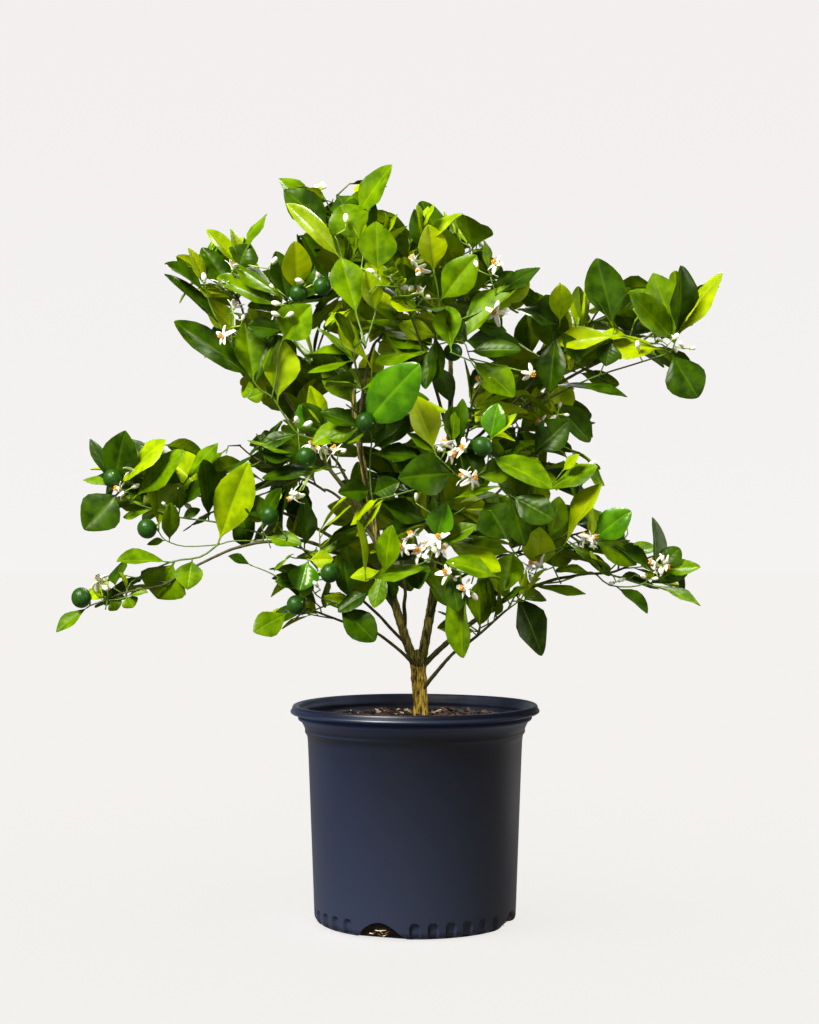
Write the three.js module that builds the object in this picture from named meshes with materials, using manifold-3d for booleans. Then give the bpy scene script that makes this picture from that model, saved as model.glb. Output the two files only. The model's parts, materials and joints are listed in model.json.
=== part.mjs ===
// A calamondin orange tree in flower and young fruit, standing in a plain blow-moulded nursery pot.
// Millimetres, +Z up. The origin is the centre of the pot's flat underside. The fullest view looks along +Y.
//
// The pot and its soil are turned shapes. The trunk forks low into two leaders, and boughs leave the trunk
// and the leaders. Each bough carries one mass of foliage: a stem, side shoots, and leaves, fruit and blossom
// on them, all placed by a seeded rule and fused into one solid.
import * as THREE from "three";
import { mergeVertices } from "three/addons/utils/BufferGeometryUtils.js";
import Module from "manifold-3d";

const wasm = await Module();
wasm.setup();

const vec = (x = 0, y = 0, z = 0) => new THREE.Vector3(x, y, z);
const at = ([x, y, z]) => vec(x, y, z);
const UP = vec(0, 0, 1);
const radians = THREE.MathUtils.degToRad;
const tree = new THREE.Group();

// ---------------------------------------------------------------- driving dimensions
const GAP = 0.3; // clearance between two solids that touch

const POT_HEIGHT = 241;
const LIP_RADIUS = 140; // outside of the rolled lip
const SHOULDER_RADIUS = 121; // top of the plain wall, under the collar
const FOOT_RADIUS = 112; // bottom of the wall
const WALL = 3;
const POT_FACETS = 32;
const DRAINS = 4;
const DRAIN_TURN = radians(-110); // direction of the first drain from the pot's axis
const DRAIN_WIDTH = 64;
const DRAIN_HEIGHT = 18;

const SOIL_EDGE = 223; // height of the soil where it meets the pot
const SOIL_CROWN = 228; // height of the soil under the trunk
const SOIL_FLAT_RADIUS = 26;

const LEAF_LENGTH = 78; // a mature leaf, a little over life size to make up for the smaller number
const LEAF_WIDTH = 0.53; // share of the length
const YOUNG_LEAF = 0.55; // size of a young leaf beside a mature one
const LEAF_THICKNESS = 1.3;
const FRUIT_RADIUS = 11;
const BLOSSOM_RADIUS = 13;
const BLOSSOM_STALK = 12;
const PETALS = 5;
const STRETCH = 36; // length of one straight stretch of a twig
const STEM_RADIUS = 1.8; // of a mass's stem, to the corners of its four-sided section
const TWIG_RADIUS = 1.2; // of a side shoot, to the corners of its three-sided section

// ---------------------------------------------------------------- solids and nodes
/** A closed three.js geometry as a manifold-3d solid. */
function solid(geometry) {
  const bare = geometry.index ? geometry.toNonIndexed() : geometry.clone();
  for (const name of Object.keys(bare.attributes)) {
    if (name !== "position") bare.deleteAttribute(name);
  }
  const merged = mergeVertices(bare, 1e-3);
  const corners = [];
  for (let i = 0; i < merged.index.count; i += 3) {
    const [a, b, c] = [0, 1, 2].map((k) => merged.index.getX(i + k));
    if (a !== b && b !== c && c !== a) corners.push(a, b, c);
  }
  return new wasm.Manifold(
    new wasm.Mesh({
      numProp: 3,
      vertProperties: merged.attributes.position.array,
      triVerts: new Uint32Array(corners),
    }),
  );
}

/** A solid's surface as a three.js geometry. */
function surface(shape) {
  const { vertProperties, triVerts } = shape.getMesh();
  const geometry = new THREE.BufferGeometry();
  geometry.setAttribute("position", new THREE.BufferAttribute(vertProperties, 3));
  geometry.setIndex(new THREE.BufferAttribute(triVerts, 1));
  return geometry;
}

/** The largest connected piece of a solid. Loose scraps are dropped and sealed hollows filled. */
function largest(shape) {
  const pieces = solid(surface(shape)).decompose();
  return pieces.length === 1 ? shape : largest(pieces.reduce((a, b) => (b.volume() > a.volume() ? b : a)));
}

/** Adds a solid to the tree as one named mesh. */
function addNode(name, shape, material) {
  const geometry = surface(shape);
  geometry.computeVertexNormals();
  const mesh = new THREE.Mesh(geometry, material);
  mesh.name = name;
  tree.add(mesh);
}

/** A closed solid turned about Z, from a profile of [radius, height] that starts and ends on the axis. */
function turned(profile) {
  const points = profile.map(([radius, height]) => new THREE.Vector2(radius, height));
  return solid(new THREE.LatheGeometry(points, POT_FACETS).rotateX(Math.PI / 2));
}

/** A closed tube with flat ends round a row of points, with a radius at each point. */
function tube(points, radii, sides) {
  const positions = [];
  const ring = [];
  let normal = null;
  points.forEach((point, i) => {
    const before = points[Math.max(i - 1, 0)];
    const after = points[Math.min(i + 1, points.length - 1)];
    const tangent = vec().subVectors(after, before).normalize();
    if (normal === null) normal = squareTo(tangent, 0);
    else normal.addScaledVector(tangent, -normal.dot(tangent)).normalize();
    const binormal = vec().crossVectors(tangent, normal);
    ring.push(
      Array.from({ length: sides }, (_, j) => {
        const angle = (2 * Math.PI * j) / sides;
        return point
          .clone()
          .addScaledVector(normal, radii[i] * Math.cos(angle))
          .addScaledVector(binormal, radii[i] * Math.sin(angle));
      }),
    );
  });
  const face = (...corners) => corners.forEach((p) => positions.push(p.x, p.y, p.z));
  for (let i = 0; i + 1 < ring.length; i++) {
    for (let j = 0; j < sides; j++) {
      const k = (j + 1) % sides;
      face(ring[i][j], ring[i][k], ring[i + 1][j]);
      face(ring[i][k], ring[i + 1][k], ring[i + 1][j]);
    }
  }
  const last = ring.length - 1;
  for (let j = 1; j + 1 < sides; j++) {
    face(ring[0][0], ring[0][j + 1], ring[0][j]);
    face(ring[last][0], ring[last][j], ring[last][j + 1]);
  }
  const geometry = new THREE.BufferGeometry();
  geometry.setAttribute("position", new THREE.Float32BufferAttribute(positions, 3));
  return solid(geometry);
}

/** A unit vector square to a direction, turned round it by an angle. */
function squareTo(direction, angle) {
  const reference = Math.abs(direction.z) < 0.9 ? UP : vec(1, 0, 0);
  const side = vec().crossVectors(direction, reference).normalize();
  const front = vec().crossVectors(side, direction);
  return side.multiplyScalar(Math.cos(angle)).addScaledVector(front, Math.sin(angle));
}

// ---------------------------------------------------------------- materials
const material = (color, roughness) => new THREE.MeshStandardMaterial({ color, roughness, metalness: 0 });
const POT_PLASTIC = material(0x1b2233, 0.45);
const SOIL_MIX = material(0x3a2a1c, 0.95);
const BARK = material(0x6e5f2a, 0.85);
const FOLIAGE = material(0x3f7a12, 0.4);

// ---------------------------------------------------------------- pot
const COLLAR_FOOT = 205; // height of the ledge where the collar stands out of the wall
const COLLAR_TOP = 223;
const POT_PROFILE = [
  [0, 0],
  [FOOT_RADIUS - 7, 0],
  [FOOT_RADIUS, 7],
  [SHOULDER_RADIUS, COLLAR_FOOT - 3],
  [SHOULDER_RADIUS + 2, COLLAR_FOOT],
  [SHOULDER_RADIUS + 6, COLLAR_TOP - 1],
  [LIP_RADIUS - 8, COLLAR_TOP + 2.5],
  [LIP_RADIUS - 8.5, COLLAR_TOP + 6],
  [LIP_RADIUS - 1, COLLAR_TOP + 8.5],
  [LIP_RADIUS, POT_HEIGHT - 5],
  [LIP_RADIUS - 2, POT_HEIGHT - 1],
  [LIP_RADIUS - 6, POT_HEIGHT],
  [LIP_RADIUS - 10, POT_HEIGHT - 2],
  [SHOULDER_RADIUS + 6 - WALL, COLLAR_TOP],
  [SHOULDER_RADIUS - WALL, COLLAR_FOOT - 3],
  [FOOT_RADIUS - WALL - 4, WALL],
  [0, WALL],
];

/** An arch that stands on z = 0 and cuts a drain through the foot of the wall. */
function drainCutter(turn) {
  const arch = new THREE.Shape();
  arch.moveTo(-DRAIN_WIDTH / 2, -1);
  arch.lineTo(DRAIN_WIDTH / 2, -1);
  arch.absellipse(0, 0, DRAIN_WIDTH / 2, DRAIN_HEIGHT, 0, Math.PI);
  const depth = 20;
  const cutter = new THREE.ExtrudeGeometry(arch, { depth, bevelEnabled: false, curveSegments: 5 });
  cutter.rotateX(Math.PI / 2).translate(0, depth / 2 - FOOT_RADIUS, 0);
  return solid(cutter.rotateZ(turn + Math.PI / 2));
}

function makePot() {
  let pot = turned(POT_PROFILE);
  for (let side = 0; side < DRAINS; side++) {
    pot = pot.subtract(drainCutter(DRAIN_TURN + (side * 2 * Math.PI) / DRAINS));
  }
  return largest(pot);
}

addNode("pot", makePot(), POT_PLASTIC);

// ---------------------------------------------------------------- soil
const SOIL_PROFILE = [
  [0, WALL + GAP],
  [FOOT_RADIUS - WALL - 4 - GAP, WALL + GAP],
  [SHOULDER_RADIUS - WALL - GAP, COLLAR_FOOT - 3],
  [SHOULDER_RADIUS + 6 - WALL - GAP, COLLAR_TOP],
  [SHOULDER_RADIUS * 0.62, SOIL_EDGE + 2],
  [SOIL_FLAT_RADIUS, SOIL_CROWN],
  [0, SOIL_CROWN],
];
addNode("soil", turned(SOIL_PROFILE), SOIL_MIX);

// ---------------------------------------------------------------- the crown's layout
const TRUNK_FOOT = [7, 0, SOIL_CROWN - 4]; // a little low, so that the cut at the soil is level
const TRUNK_FORK = [3, 0, 296];
// The trunk's radii from the flare at the soil, past the waist, to the knob at the fork.
const TRUNK_RADII = [13.2, 11, 9.4, 8.6, 8.5, 9.4, 10.6, 7.5];

// The two leaders leave the trunk at one height, bend through one point and end in their tips.
const LEADER_START = 0.72; // share of the trunk's length
const LEADERS = [
  { name: "leader_left", bend: [-50, -5, 465], tip: [-80, -12, 690], radii: [5.3, 4.4, 3.4, 2.2] },
  { name: "leader_right", bend: [34, 10, 470], tip: [40, 12, 655], radii: [5.6, 4.6, 3.4, 2.2] },
];

// Each mass of foliage fills the part of an ellipsoid (centre, reach) that no other mass reaches further
// into. Its bough leaves another limb (from) at a share of the way along, with a radius there, and bends
// through one point. A mass with no bend grows on from the tip of the limb itself. shoots is the number of
// side shoots, young the share of young ones, and fruit and blossom the numbers of tips that bear them.
const CROWN = [
  {
    name: "left_low", from: "leader_left", share: 0.2, radius: 2.6, bend: [-125, -35, 425],
    centre: [-328, -62, 366], reach: [94, 62, 58],
    shoots: 3, young: 0.3, fruit: 1, blossom: 1, seed: 183,
  },
  {
    name: "left_mid", from: "leader_left", share: 0.29, radius: 2.4, bend: [-125, -12, 448],
    centre: [-292, -30, 492], reach: [104, 80, 76],
    shoots: 4, young: 0, fruit: 2, blossom: 0, seed: 129,
  },
  {
    name: "left_inner", from: "leader_left", share: 0.38, radius: 1.9, bend: [-80, 10, 470],
    centre: [-165, 10, 520], reach: [92, 86, 86],
    shoots: 4, young: 0, fruit: 1, blossom: 1, seed: 386,
  },
  {
    name: "left_upper", from: "leader_left", share: 0.43, radius: 2.8, bend: [-110, -12, 530],
    centre: [-205, -18, 692], reach: [98, 88, 112],
    shoots: 6, young: 0.3, fruit: 1, blossom: 3, seed: 301,
  },
  {
    name: "top_left", from: "leader_left", share: 1,
    centre: [-84, -10, 778], reach: [90, 88, 96],
    shoots: 5, young: 0.1, fruit: 0, blossom: 1, seed: 264,
  },
  {
    name: "top_right", from: "leader_right", share: 1,
    centre: [60, 15, 740], reach: [104, 92, 92],
    shoots: 5, young: 0.3, fruit: 0, blossom: 2, seed: 301,
  },
  {
    name: "right_inner", from: "leader_right", share: 0.63, radius: 2.2, bend: [88, 12, 560],
    centre: [190, 12, 665], reach: [78, 84, 90],
    shoots: 4, young: 0.1, fruit: 0, blossom: 0, seed: 4,
  },
  {
    name: "right_upper", from: "leader_right", share: 0.56, radius: 2.8, bend: [125, 0, 578],
    centre: [284, -10, 668], reach: [78, 74, 80],
    shoots: 4, young: 0, fruit: 0, blossom: 0, seed: 215,
  },
  {
    name: "right_low", from: "trunk", share: 0.78, radius: 3.2, bend: [105, -25, 362],
    centre: [262, -15, 405], reach: [76, 72, 66],
    shoots: 4, young: 0.2, fruit: 0, blossom: 1, seed: 301,
  },
  {
    name: "right_mid", from: "leader_right", share: 0.22, radius: 2.0, bend: [75, -20, 400],
    centre: [165, -38, 430], reach: [84, 82, 76],
    shoots: 4, young: 0.1, fruit: 0, blossom: 1, seed: 213,
  },
  {
    name: "right_foot", from: "trunk", share: 0.42, radius: 2.4, bend: [38, -30, 296],
    centre: [92, -80, 342], reach: [76, 62, 54],
    shoots: 2, young: 0, fruit: 0, blossom: 0, seed: 314,
  },
  {
    name: "left_foot", from: "trunk", share: 0.8, radius: 2.0, bend: [-35, -24, 318],
    centre: [-112, -60, 350], reach: [86, 64, 46],
    shoots: 2, young: 0, fruit: 1, blossom: 0, seed: 65,
  },
  {
    name: "left_front", from: "leader_left", share: 0.09, radius: 1.8, bend: [-48, -36, 350],
    centre: [-125, -58, 418], reach: [92, 74, 66],
    shoots: 3, young: 0, fruit: 1, blossom: 1, seed: 207,
  },
  {
    name: "front_upper", from: "leader_left", share: 0.5, radius: 2.0, bend: [-58, -45, 515],
    centre: [-60, -112, 595], reach: [96, 80, 96],
    shoots: 5, young: 0, fruit: 1, blossom: 0, seed: 4,
  },
  {
    name: "front_right", from: "leader_right", share: 0.46, radius: 2.2, bend: [48, -38, 510],
    centre: [68, -105, 585], reach: [92, 76, 92],
    shoots: 5, young: 0.1, fruit: 1, blossom: 0, seed: 100,
  },
  {
    name: "front_low", from: "leader_right", share: 0.16, radius: 2.2, bend: [28, -40, 380],
    centre: [22, -110, 455], reach: [104, 76, 88],
    shoots: 5, young: 0.1, fruit: 0, blossom: 3, seed: 326,
  },
  {
    name: "front_top", from: "leader_right", share: 0.7, radius: 2.0, bend: [18, -35, 610],
    centre: [-12, -90, 695], reach: [96, 76, 86],
    shoots: 4, young: 0.1, fruit: 0, blossom: 2, seed: 390,
  },
  {
    name: "centre_right", from: "leader_right", share: 0.35, radius: 2.2, bend: [68, 4, 455],
    centre: [142, 0, 530], reach: [88, 88, 88],
    shoots: 4, young: 0.1, fruit: 1, blossom: 0, seed: 53,
  },
  {
    name: "back_top", from: "leader_left", share: 0.68, radius: 2.4, bend: [-55, 45, 630],
    centre: [-20, 118, 722], reach: [112, 90, 104],
    shoots: 4, young: 0.2, fruit: 0, blossom: 1, seed: 127,
  },
  {
    name: "back_left", from: "leader_left", share: 0.34, radius: 2.6, bend: [-78, 58, 495],
    centre: [-138, 140, 585], reach: [106, 96, 106],
    shoots: 4, young: 0.1, fruit: 1, blossom: 1, seed: 179,
  },
  {
    name: "back_right", from: "leader_right", share: 0.4, radius: 2.6, bend: [72, 62, 510],
    centre: [132, 142, 600], reach: [106, 96, 104],
    shoots: 4, young: 0.1, fruit: 1, blossom: 1, seed: 315,
  },
  {
    name: "back_low", from: "leader_left", share: 0.13, radius: 2.6, bend: [-12, 60, 368],
    centre: [-18, 158, 455], reach: [116, 94, 92],
    shoots: 4, young: 0.1, fruit: 1, blossom: 1, seed: 93,
  },
];
const ENTRY = 0.78; // how far out in its mass's ellipsoid a bough ends
const BOUGH_TIP = 1.3; // radius of a bough's tip
const TRUNK_SIDES = 10;
const LEADER_SIDES = 8;
const BOUGH_SIDES = 5;
const BEND_STEP = 56; // length of one straight stretch of a limb

/** How far out in a mass's ellipsoid a point lies: 0 at the centre, 1 at the surface. */
function depthIn(mass, p) {
  return Math.hypot(
    (p.x - mass.centre[0]) / mass.reach[0],
    (p.y - mass.centre[1]) / mass.reach[1],
    (p.z - mass.centre[2]) / mass.reach[2],
  );
}

// ---------------------------------------------------------------- trunk, leaders and boughs
/** The middle line of a limb from its start through one point to its tip. */
function limbCurve(start, bend, tip) {
  const control = bend.clone().multiplyScalar(2).addScaledVector(start, -0.5).addScaledVector(tip, -0.5);
  return new THREE.QuadraticBezierCurve3(start, control, tip);
}

/** The radius of a limb at a share of its length, between its listed radii. */
function radiusAlong(limb, share) {
  const place = share * (limb.radii.length - 1);
  const index = Math.min(Math.floor(place), limb.radii.length - 2);
  return THREE.MathUtils.lerp(limb.radii[index], limb.radii[index + 1], place - index);
}

/** A limb's solid, grown on all sides by an amount. */
function limbSolid({ curve, radii, steps, sides }, grow = 0) {
  const points = curve.getPoints(steps);
  const thickness = points.map((_, i) => radiusAlong({ radii }, i / steps) + grow);
  return tube(points, thickness, sides);
}

const limbs = {
  trunk: {
    radii: TRUNK_RADII,
    steps: TRUNK_RADII.length - 1,
    sides: TRUNK_SIDES,
    curve: new THREE.LineCurve3(at(TRUNK_FOOT), at(TRUNK_FORK)),
  },
};

/** Adds a limb that leaves another one. */
function branchOff(name, { from, share, bend, tip, radii, sides }) {
  const curve = limbCurve(limbs[from].curve.getPoint(share), bend, tip);
  limbs[name] = { from, curve, radii, sides, steps: Math.ceil(curve.getLength() / BEND_STEP) };
}

for (const { name, bend, tip, radii } of LEADERS) {
  const foot = { from: "trunk", share: LEADER_START };
  branchOff(name, { ...foot, bend: at(bend), tip: at(tip), radii, sides: LEADER_SIDES });
}
for (const mass of CROWN) {
  mass.limb = mass.from;
  if (!mass.bend) continue;
  mass.limb = `bough_${mass.name}`;
  const bend = at(mass.bend);
  const tip = at(mass.centre).lerp(bend, ENTRY / depthIn(mass, bend));
  const radii = [mass.radius, BOUGH_TIP];
  branchOff(mass.limb, { from: mass.from, share: mass.share, bend, tip, radii, sides: BOUGH_SIDES });
}

/** A block whose top lies just above the soil, to cut the trunk's foot level. */
function groundBlock() {
  const side = 3 * SOIL_FLAT_RADIUS;
  return solid(new THREE.BoxGeometry(side, side, side).translate(0, 0, SOIL_CROWN + GAP - side / 2));
}

// Each limb is cut back from the ground and from the limbs before it, so that it starts just outside them.
const cutters = [groundBlock()];
for (const [name, limb] of Object.entries(limbs)) {
  addNode(name, largest(cutters.reduce((shape, cutter) => shape.subtract(cutter), limbSolid(limb))), BARK);
  cutters.push(limbSolid(limb, GAP));
}

// ---------------------------------------------------------------- masses of foliage
const MARGIN = 0.03; // how much further into its own space than into any other a point must lie
const TWIG_REACH = 0.78; // how far out in its space a twig may grow
const STEM_END = 0.6; // how far out on the far side of its space a stem ends
const GOLDEN_ANGLE = radians(137.5);
const SHOOT_ANGLE = radians(55); // between the stem and a side shoot
const SHOOT_LIFT = 0.16; // how much a shoot turns up at each internode
const SHOOT_SWAY = 0.35;
const LONG_SHOOTS = 0.3; // share of the side shoots with two stretches
const LEAF_TRIES = 9;
const LEAF_SHRINK = 0.04; // how much smaller a leaf gets with each try
const TRY_TURN = 0.75; // how far a leaf is turned round its twig with each try
const FIRST_LEAF = 1.5; // from a shoot's tip
const FIRST_LEAF_BY_FRUIT = 6; // from a tip that bears fruit or blossom
const LEAF_SPREAD = 38; // degrees between a shoot and its first leaf
const SPREAD_STEP = 10; // and more for each of the next three
const YOUNG_SPREAD = 0.6; // share of that on a young shoot
const LEAF_LIFT = 0.3; // how far a leaf may point up or droop
const FACE_TWIG = 0.5; // how much a leaf's upper side faces along its twig
const FACE_UP = 0.7; // and how much it faces up
const FACE_SWAY = 0.8; // and how much it faces at random
const LEAF_CLEARANCE = 4; // between a leaf and a limb
const TWIG_CLEARANCE = 2.5;
const TWIG_TESTS = 8; // points along a new stretch of twig where its room is tested
const LEAF_SPACING = 18; // between the first leaves from a shoot's tip, and more further down

/** Repeatable numbers from 0 to 1. */
function seeded(seed) {
  let state = seed >>> 0;
  return () => {
    state = (state + 0x6d2b79f5) >>> 0;
    let t = Math.imul(state ^ (state >>> 15), state | 1);
    t ^= t + Math.imul(t ^ (t >>> 7), t | 61);
    return ((t ^ (t >>> 14)) >>> 0) / 4294967296;
  };
}

/** Whether a point keeps out of every other mass's space. */
function clearOfMasses(mass, p) {
  const own = Math.min(depthIn(mass, p), 1);
  return CROWN.every((other) => other === mass || depthIn(other, p) > own + MARGIN);
}

// Balls along the trunk and the limbs, to test for room.
const LIMB_BALL_STEP = 5;
const limbBalls = Object.values(limbs).flatMap((limb) => {
  const count = Math.ceil(limb.curve.getLength() / LIMB_BALL_STEP);
  return Array.from({ length: count + 1 }, (_, i) => ({
    centre: limb.curve.getPoint(i / count),
    radius: radiusAlong(limb, i / count),
  }));
});
const clearOfLimbs = (p, clearance) =>
  limbBalls.every((ball) => p.distanceTo(ball.centre) > ball.radius + clearance);

// The straight stretches of the trunk and the limbs.
const limbStretches = Object.values(limbs).flatMap(({ curve, steps }) => stretches(curve.getPoints(steps)));

/** The pairs of neighbours in a row of points. */
function stretches(points) {
  return points.slice(1).map((p, i) => [points[i], p]);
}

/** Whether a twig from p to q keeps clear of the limbs and of the other masses' spaces. */
function twigHasRoom(mass, p, q) {
  const tests = Array.from({ length: TWIG_TESTS }, (_, i) => p.clone().lerp(q, (i + 1) / TWIG_TESTS));
  return tests.every((t) => clearOfMasses(mass, t) && clearOfLimbs(t, TWIG_CLEARANCE));
}

/** The nodes of a shoot that turns up and sways as it grows, and stops where its room ends. */
function growShoot(mass, start, direction, joints, random) {
  const nodes = [start.clone()];
  const heading = direction.clone();
  for (let i = 0; i < joints; i++) {
    const length = STRETCH * (0.9 + 0.4 * random());
    const sway = vec(random() - 0.5, random() - 0.5, random() - 0.5);
    const next = nodes[i].clone().addScaledVector(heading, length);
    if (!twigHasRoom(mass, nodes[i], next) || depthIn(mass, next) > TWIG_REACH) break;
    nodes.push(next);
    heading.addScaledVector(sway, SHOOT_SWAY).addScaledVector(UP, SHOOT_LIFT).normalize();
  }
  return nodes;
}

/** The stem of a mass: from just past its bough's tip towards the far side of its space. */
function growStem(mass, random) {
  const { curve, steps } = limbs[mass.limb];
  const [before, end] = curve.getPoints(steps).slice(-2);
  const tangent = vec().subVectors(end, before).normalize();
  const foot = end.clone().addScaledVector(tangent, GAP);
  const nodes = [foot, foot.clone().addScaledVector(tangent, STRETCH / 2)];
  const goal = at(mass.centre).lerp(foot, -STEM_END / ENTRY);
  const joints = Math.round(goal.distanceTo(nodes[1]) / STRETCH);
  for (let i = 0; i < joints; i++) {
    const last = nodes[nodes.length - 1];
    const aim = goal.clone().sub(last).normalize();
    aim.addScaledVector(vec(random() - 0.5, random() - 0.5, random() - 0.5), SHOOT_SWAY).normalize();
    const next = last.clone().addScaledVector(aim, STRETCH);
    if (!twigHasRoom(mass, last, next)) break;
    nodes.push(next);
  }
  return nodes;
}

/** A leaf's frame: where it starts, where it points, which way its upper side faces, and its size. */
function leafAt(start, heading, azimuth, spread, size, random) {
  const out = squareTo(heading, azimuth);
  const along = heading.clone().multiplyScalar(Math.cos(spread)).addScaledVector(out, Math.sin(spread));
  along.addScaledVector(UP, LEAF_LIFT * (random() - 0.35)).normalize();
  const face = heading.clone().multiplyScalar(FACE_TWIG).addScaledVector(UP, FACE_UP);
  face.addScaledVector(vec(random() - 0.5, random() - 0.5, random() - 0.5), FACE_SWAY);
  face.addScaledVector(along, -face.dot(along)).normalize();
  const length = LEAF_LENGTH * size * (0.82 + 0.36 * random());
  return {
    start,
    along,
    face,
    side: vec().crossVectors(along, face),
    length,
    width: length * LEAF_WIDTH * (0.9 + 0.2 * random()),
    curl: 0.04 + 0.12 * random(), // how far the tip bends down, as a share of the length
  };
}

/** A point of a leaf: u from its root to its tip, v square to that from its midrib, and a height. */
function leafPoint(leaf, u, v, height = 0) {
  return leaf.start
    .clone()
    .addScaledVector(leaf.along, u * leaf.length)
    .addScaledVector(leaf.side, v)
    .addScaledVector(leaf.face, height - leaf.curl * leaf.length * u * u);
}

// The outline of a leaf from its root round by its tip, as [u, share of the half width to the right].
const LEAF_OUTLINE = [
  [0, 0],
  [0.38, 1],
  [0.72, 0.86],
  [1, 0],
  [0.72, -0.86],
  [0.38, -1],
];
const STALK_END = 0.09; // where the leaf's stalk runs out into the blade
const LEAF_MIDDLE = 0.52;

/** The outline points of a leaf, and two points of the ridge along its upper side. */
function leafPoints(leaf) {
  const rim = LEAF_OUTLINE.map(([u, share]) => leafPoint(leaf, u, (share * leaf.width) / 2));
  const stalk = leafPoint(leaf, STALK_END, 0, LEAF_THICKNESS);
  const middle = leafPoint(leaf, LEAF_MIDDLE, 0, LEAF_THICKNESS);
  return { rim, stalk, middle };
}

/** A leaf as a closed solid of twelve faces: a bent strip, with a low ridge along its upper side. */
function leafSolid(leaf) {
  const { rim, stalk, middle } = leafPoints(leaf);
  const [root, right, rightTip, tip, leftTip, left] = rim;
  const over = [root, right, stalk, stalk, right, middle, right, rightTip, middle, rightTip, tip, middle];
  over.push(tip, leftTip, middle, leftTip, left, middle, left, stalk, middle, left, root, stalk);
  const under = [root, left, right, left, leftTip, right, leftTip, rightTip, right, leftTip, tip, rightTip];
  return solid(new THREE.BufferGeometry().setFromPoints([...over, ...under]));
}

/** Whether the segment p to q passes through the triangle a, b, c. */
function crosses(p, q, [a, b, c]) {
  const d = vec().subVectors(q, p);
  const e1 = vec().subVectors(b, a);
  const e2 = vec().subVectors(c, a);
  const h = vec().crossVectors(d, e2);
  const det = e1.dot(h);
  if (Math.abs(det) < 1e-9) return false;
  const s = vec().subVectors(p, a);
  const u = s.dot(h) / det;
  if (u < 0 || u > 1) return false;
  const r = vec().crossVectors(s, e1);
  const v = d.dot(r) / det;
  if (v < 0 || u + v > 1) return false;
  const t = e2.dot(r) / det;
  return t >= 0 && t <= 1;
}

/** The points, edges and triangles of a leaf's upper side, with a ball round them, for the tests of room. */
function leafProbe(leaf) {
  const { rim, middle } = leafPoints(leaf);
  const next = (i) => rim[(i + 1) % rim.length];
  return {
    points: [...rim.slice(1), middle, ...rim.map((p, i) => p.clone().lerp(next(i), 0.5)).slice(1, -1)],
    edges: [...rim.map((p, i) => [p, next(i)]), ...rim.map((p) => [middle, p])],
    faces: rim.map((p, i) => [middle, p, next(i)]),
    centre: middle,
    radius: leaf.length * 0.55,
  };
}

/** Whether two leaves pass through each other. */
function leavesCross(a, b) {
  if (a.centre.distanceTo(b.centre) > a.radius + b.radius) return false;
  return (
    a.edges.some(([p, q]) => b.faces.some((face) => crosses(p, q, face))) ||
    b.edges.some(([p, q]) => a.faces.some((face) => crosses(p, q, face)))
  );
}

/** The stem of a mass and its side shoots, each with the distance along it of every node. */
function growShoots(mass, random) {
  const stem = growStem(mass, random);
  const shoots = [{ nodes: stem, isStem: true, young: false }];
  for (let i = 0; i < mass.shoots; i++) {
    const along = ((i + 0.5) * (stem.length - 1)) / mass.shoots;
    const k = Math.floor(along);
    const start = stem[k].clone().lerp(stem[k + 1], along - k);
    const heading = stem[k + 1].clone().sub(stem[k]).normalize();
    const out = squareTo(heading, i * GOLDEN_ANGLE + mass.seed);
    const angle = SHOOT_ANGLE * (0.75 + 0.5 * random());
    const direction = heading.multiplyScalar(Math.cos(angle)).addScaledVector(out, Math.sin(angle));
    const young = random() < mass.young;
    const joints = random() < LONG_SHOOTS ? 2 : 1;
    const nodes = growShoot(mass, start, direction, joints, random);
    if (nodes.length > 1) shoots.push({ nodes, isStem: false, young });
  }
  return shoots;
}

/** The point of a shoot at a distance back from its tip, and the direction of growth there. */
function placeOn({ nodes }, back) {
  let left = back;
  for (let i = nodes.length - 1; i > 0; i--) {
    const step = vec().subVectors(nodes[i], nodes[i - 1]);
    const length = step.length();
    if (left <= length) {
      const heading = step.normalize();
      return { point: nodes[i].clone().addScaledVector(heading, -left), heading };
    }
    left -= length;
  }
  return null;
}

/** Fruit on the lowest tips of a mass, and blossom on the next ones up. */
function bearFruit(mass, shoots, random) {
  const height = ({ nodes }) => nodes[nodes.length - 1].z;
  const order = [...shoots].sort((a, b) => height(a) - height(b));
  const fruit = [];
  const blossom = [];
  order.slice(0, mass.fruit + mass.blossom).forEach((shoot, rank) => {
    const { point, heading } = placeOn(shoot, 0);
    const turn = 2 * Math.PI * random();
    const lean = squareTo(heading, turn).multiplyScalar(0.6).add(heading).normalize();
    if (rank < mass.fruit) {
      const radius = FRUIT_RADIUS * (0.85 + 0.25 * random());
      const centre = point.clone().addScaledVector(lean, radius - 1.5);
      if (!clearOfMasses(mass, centre) || !clearOfLimbs(centre, radius + 1)) return;
      fruit.push({ centre, radius, lean });
    } else {
      const centre = point.clone().addScaledVector(lean, BLOSSOM_STALK);
      if (!clearOfMasses(mass, centre) || !clearOfLimbs(centre, BLOSSOM_RADIUS)) return;
      blossom.push({ foot: point, centre, lean, turn });
    }
    shoot.bears = true;
  });
  return { fruit, blossom };
}

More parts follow.
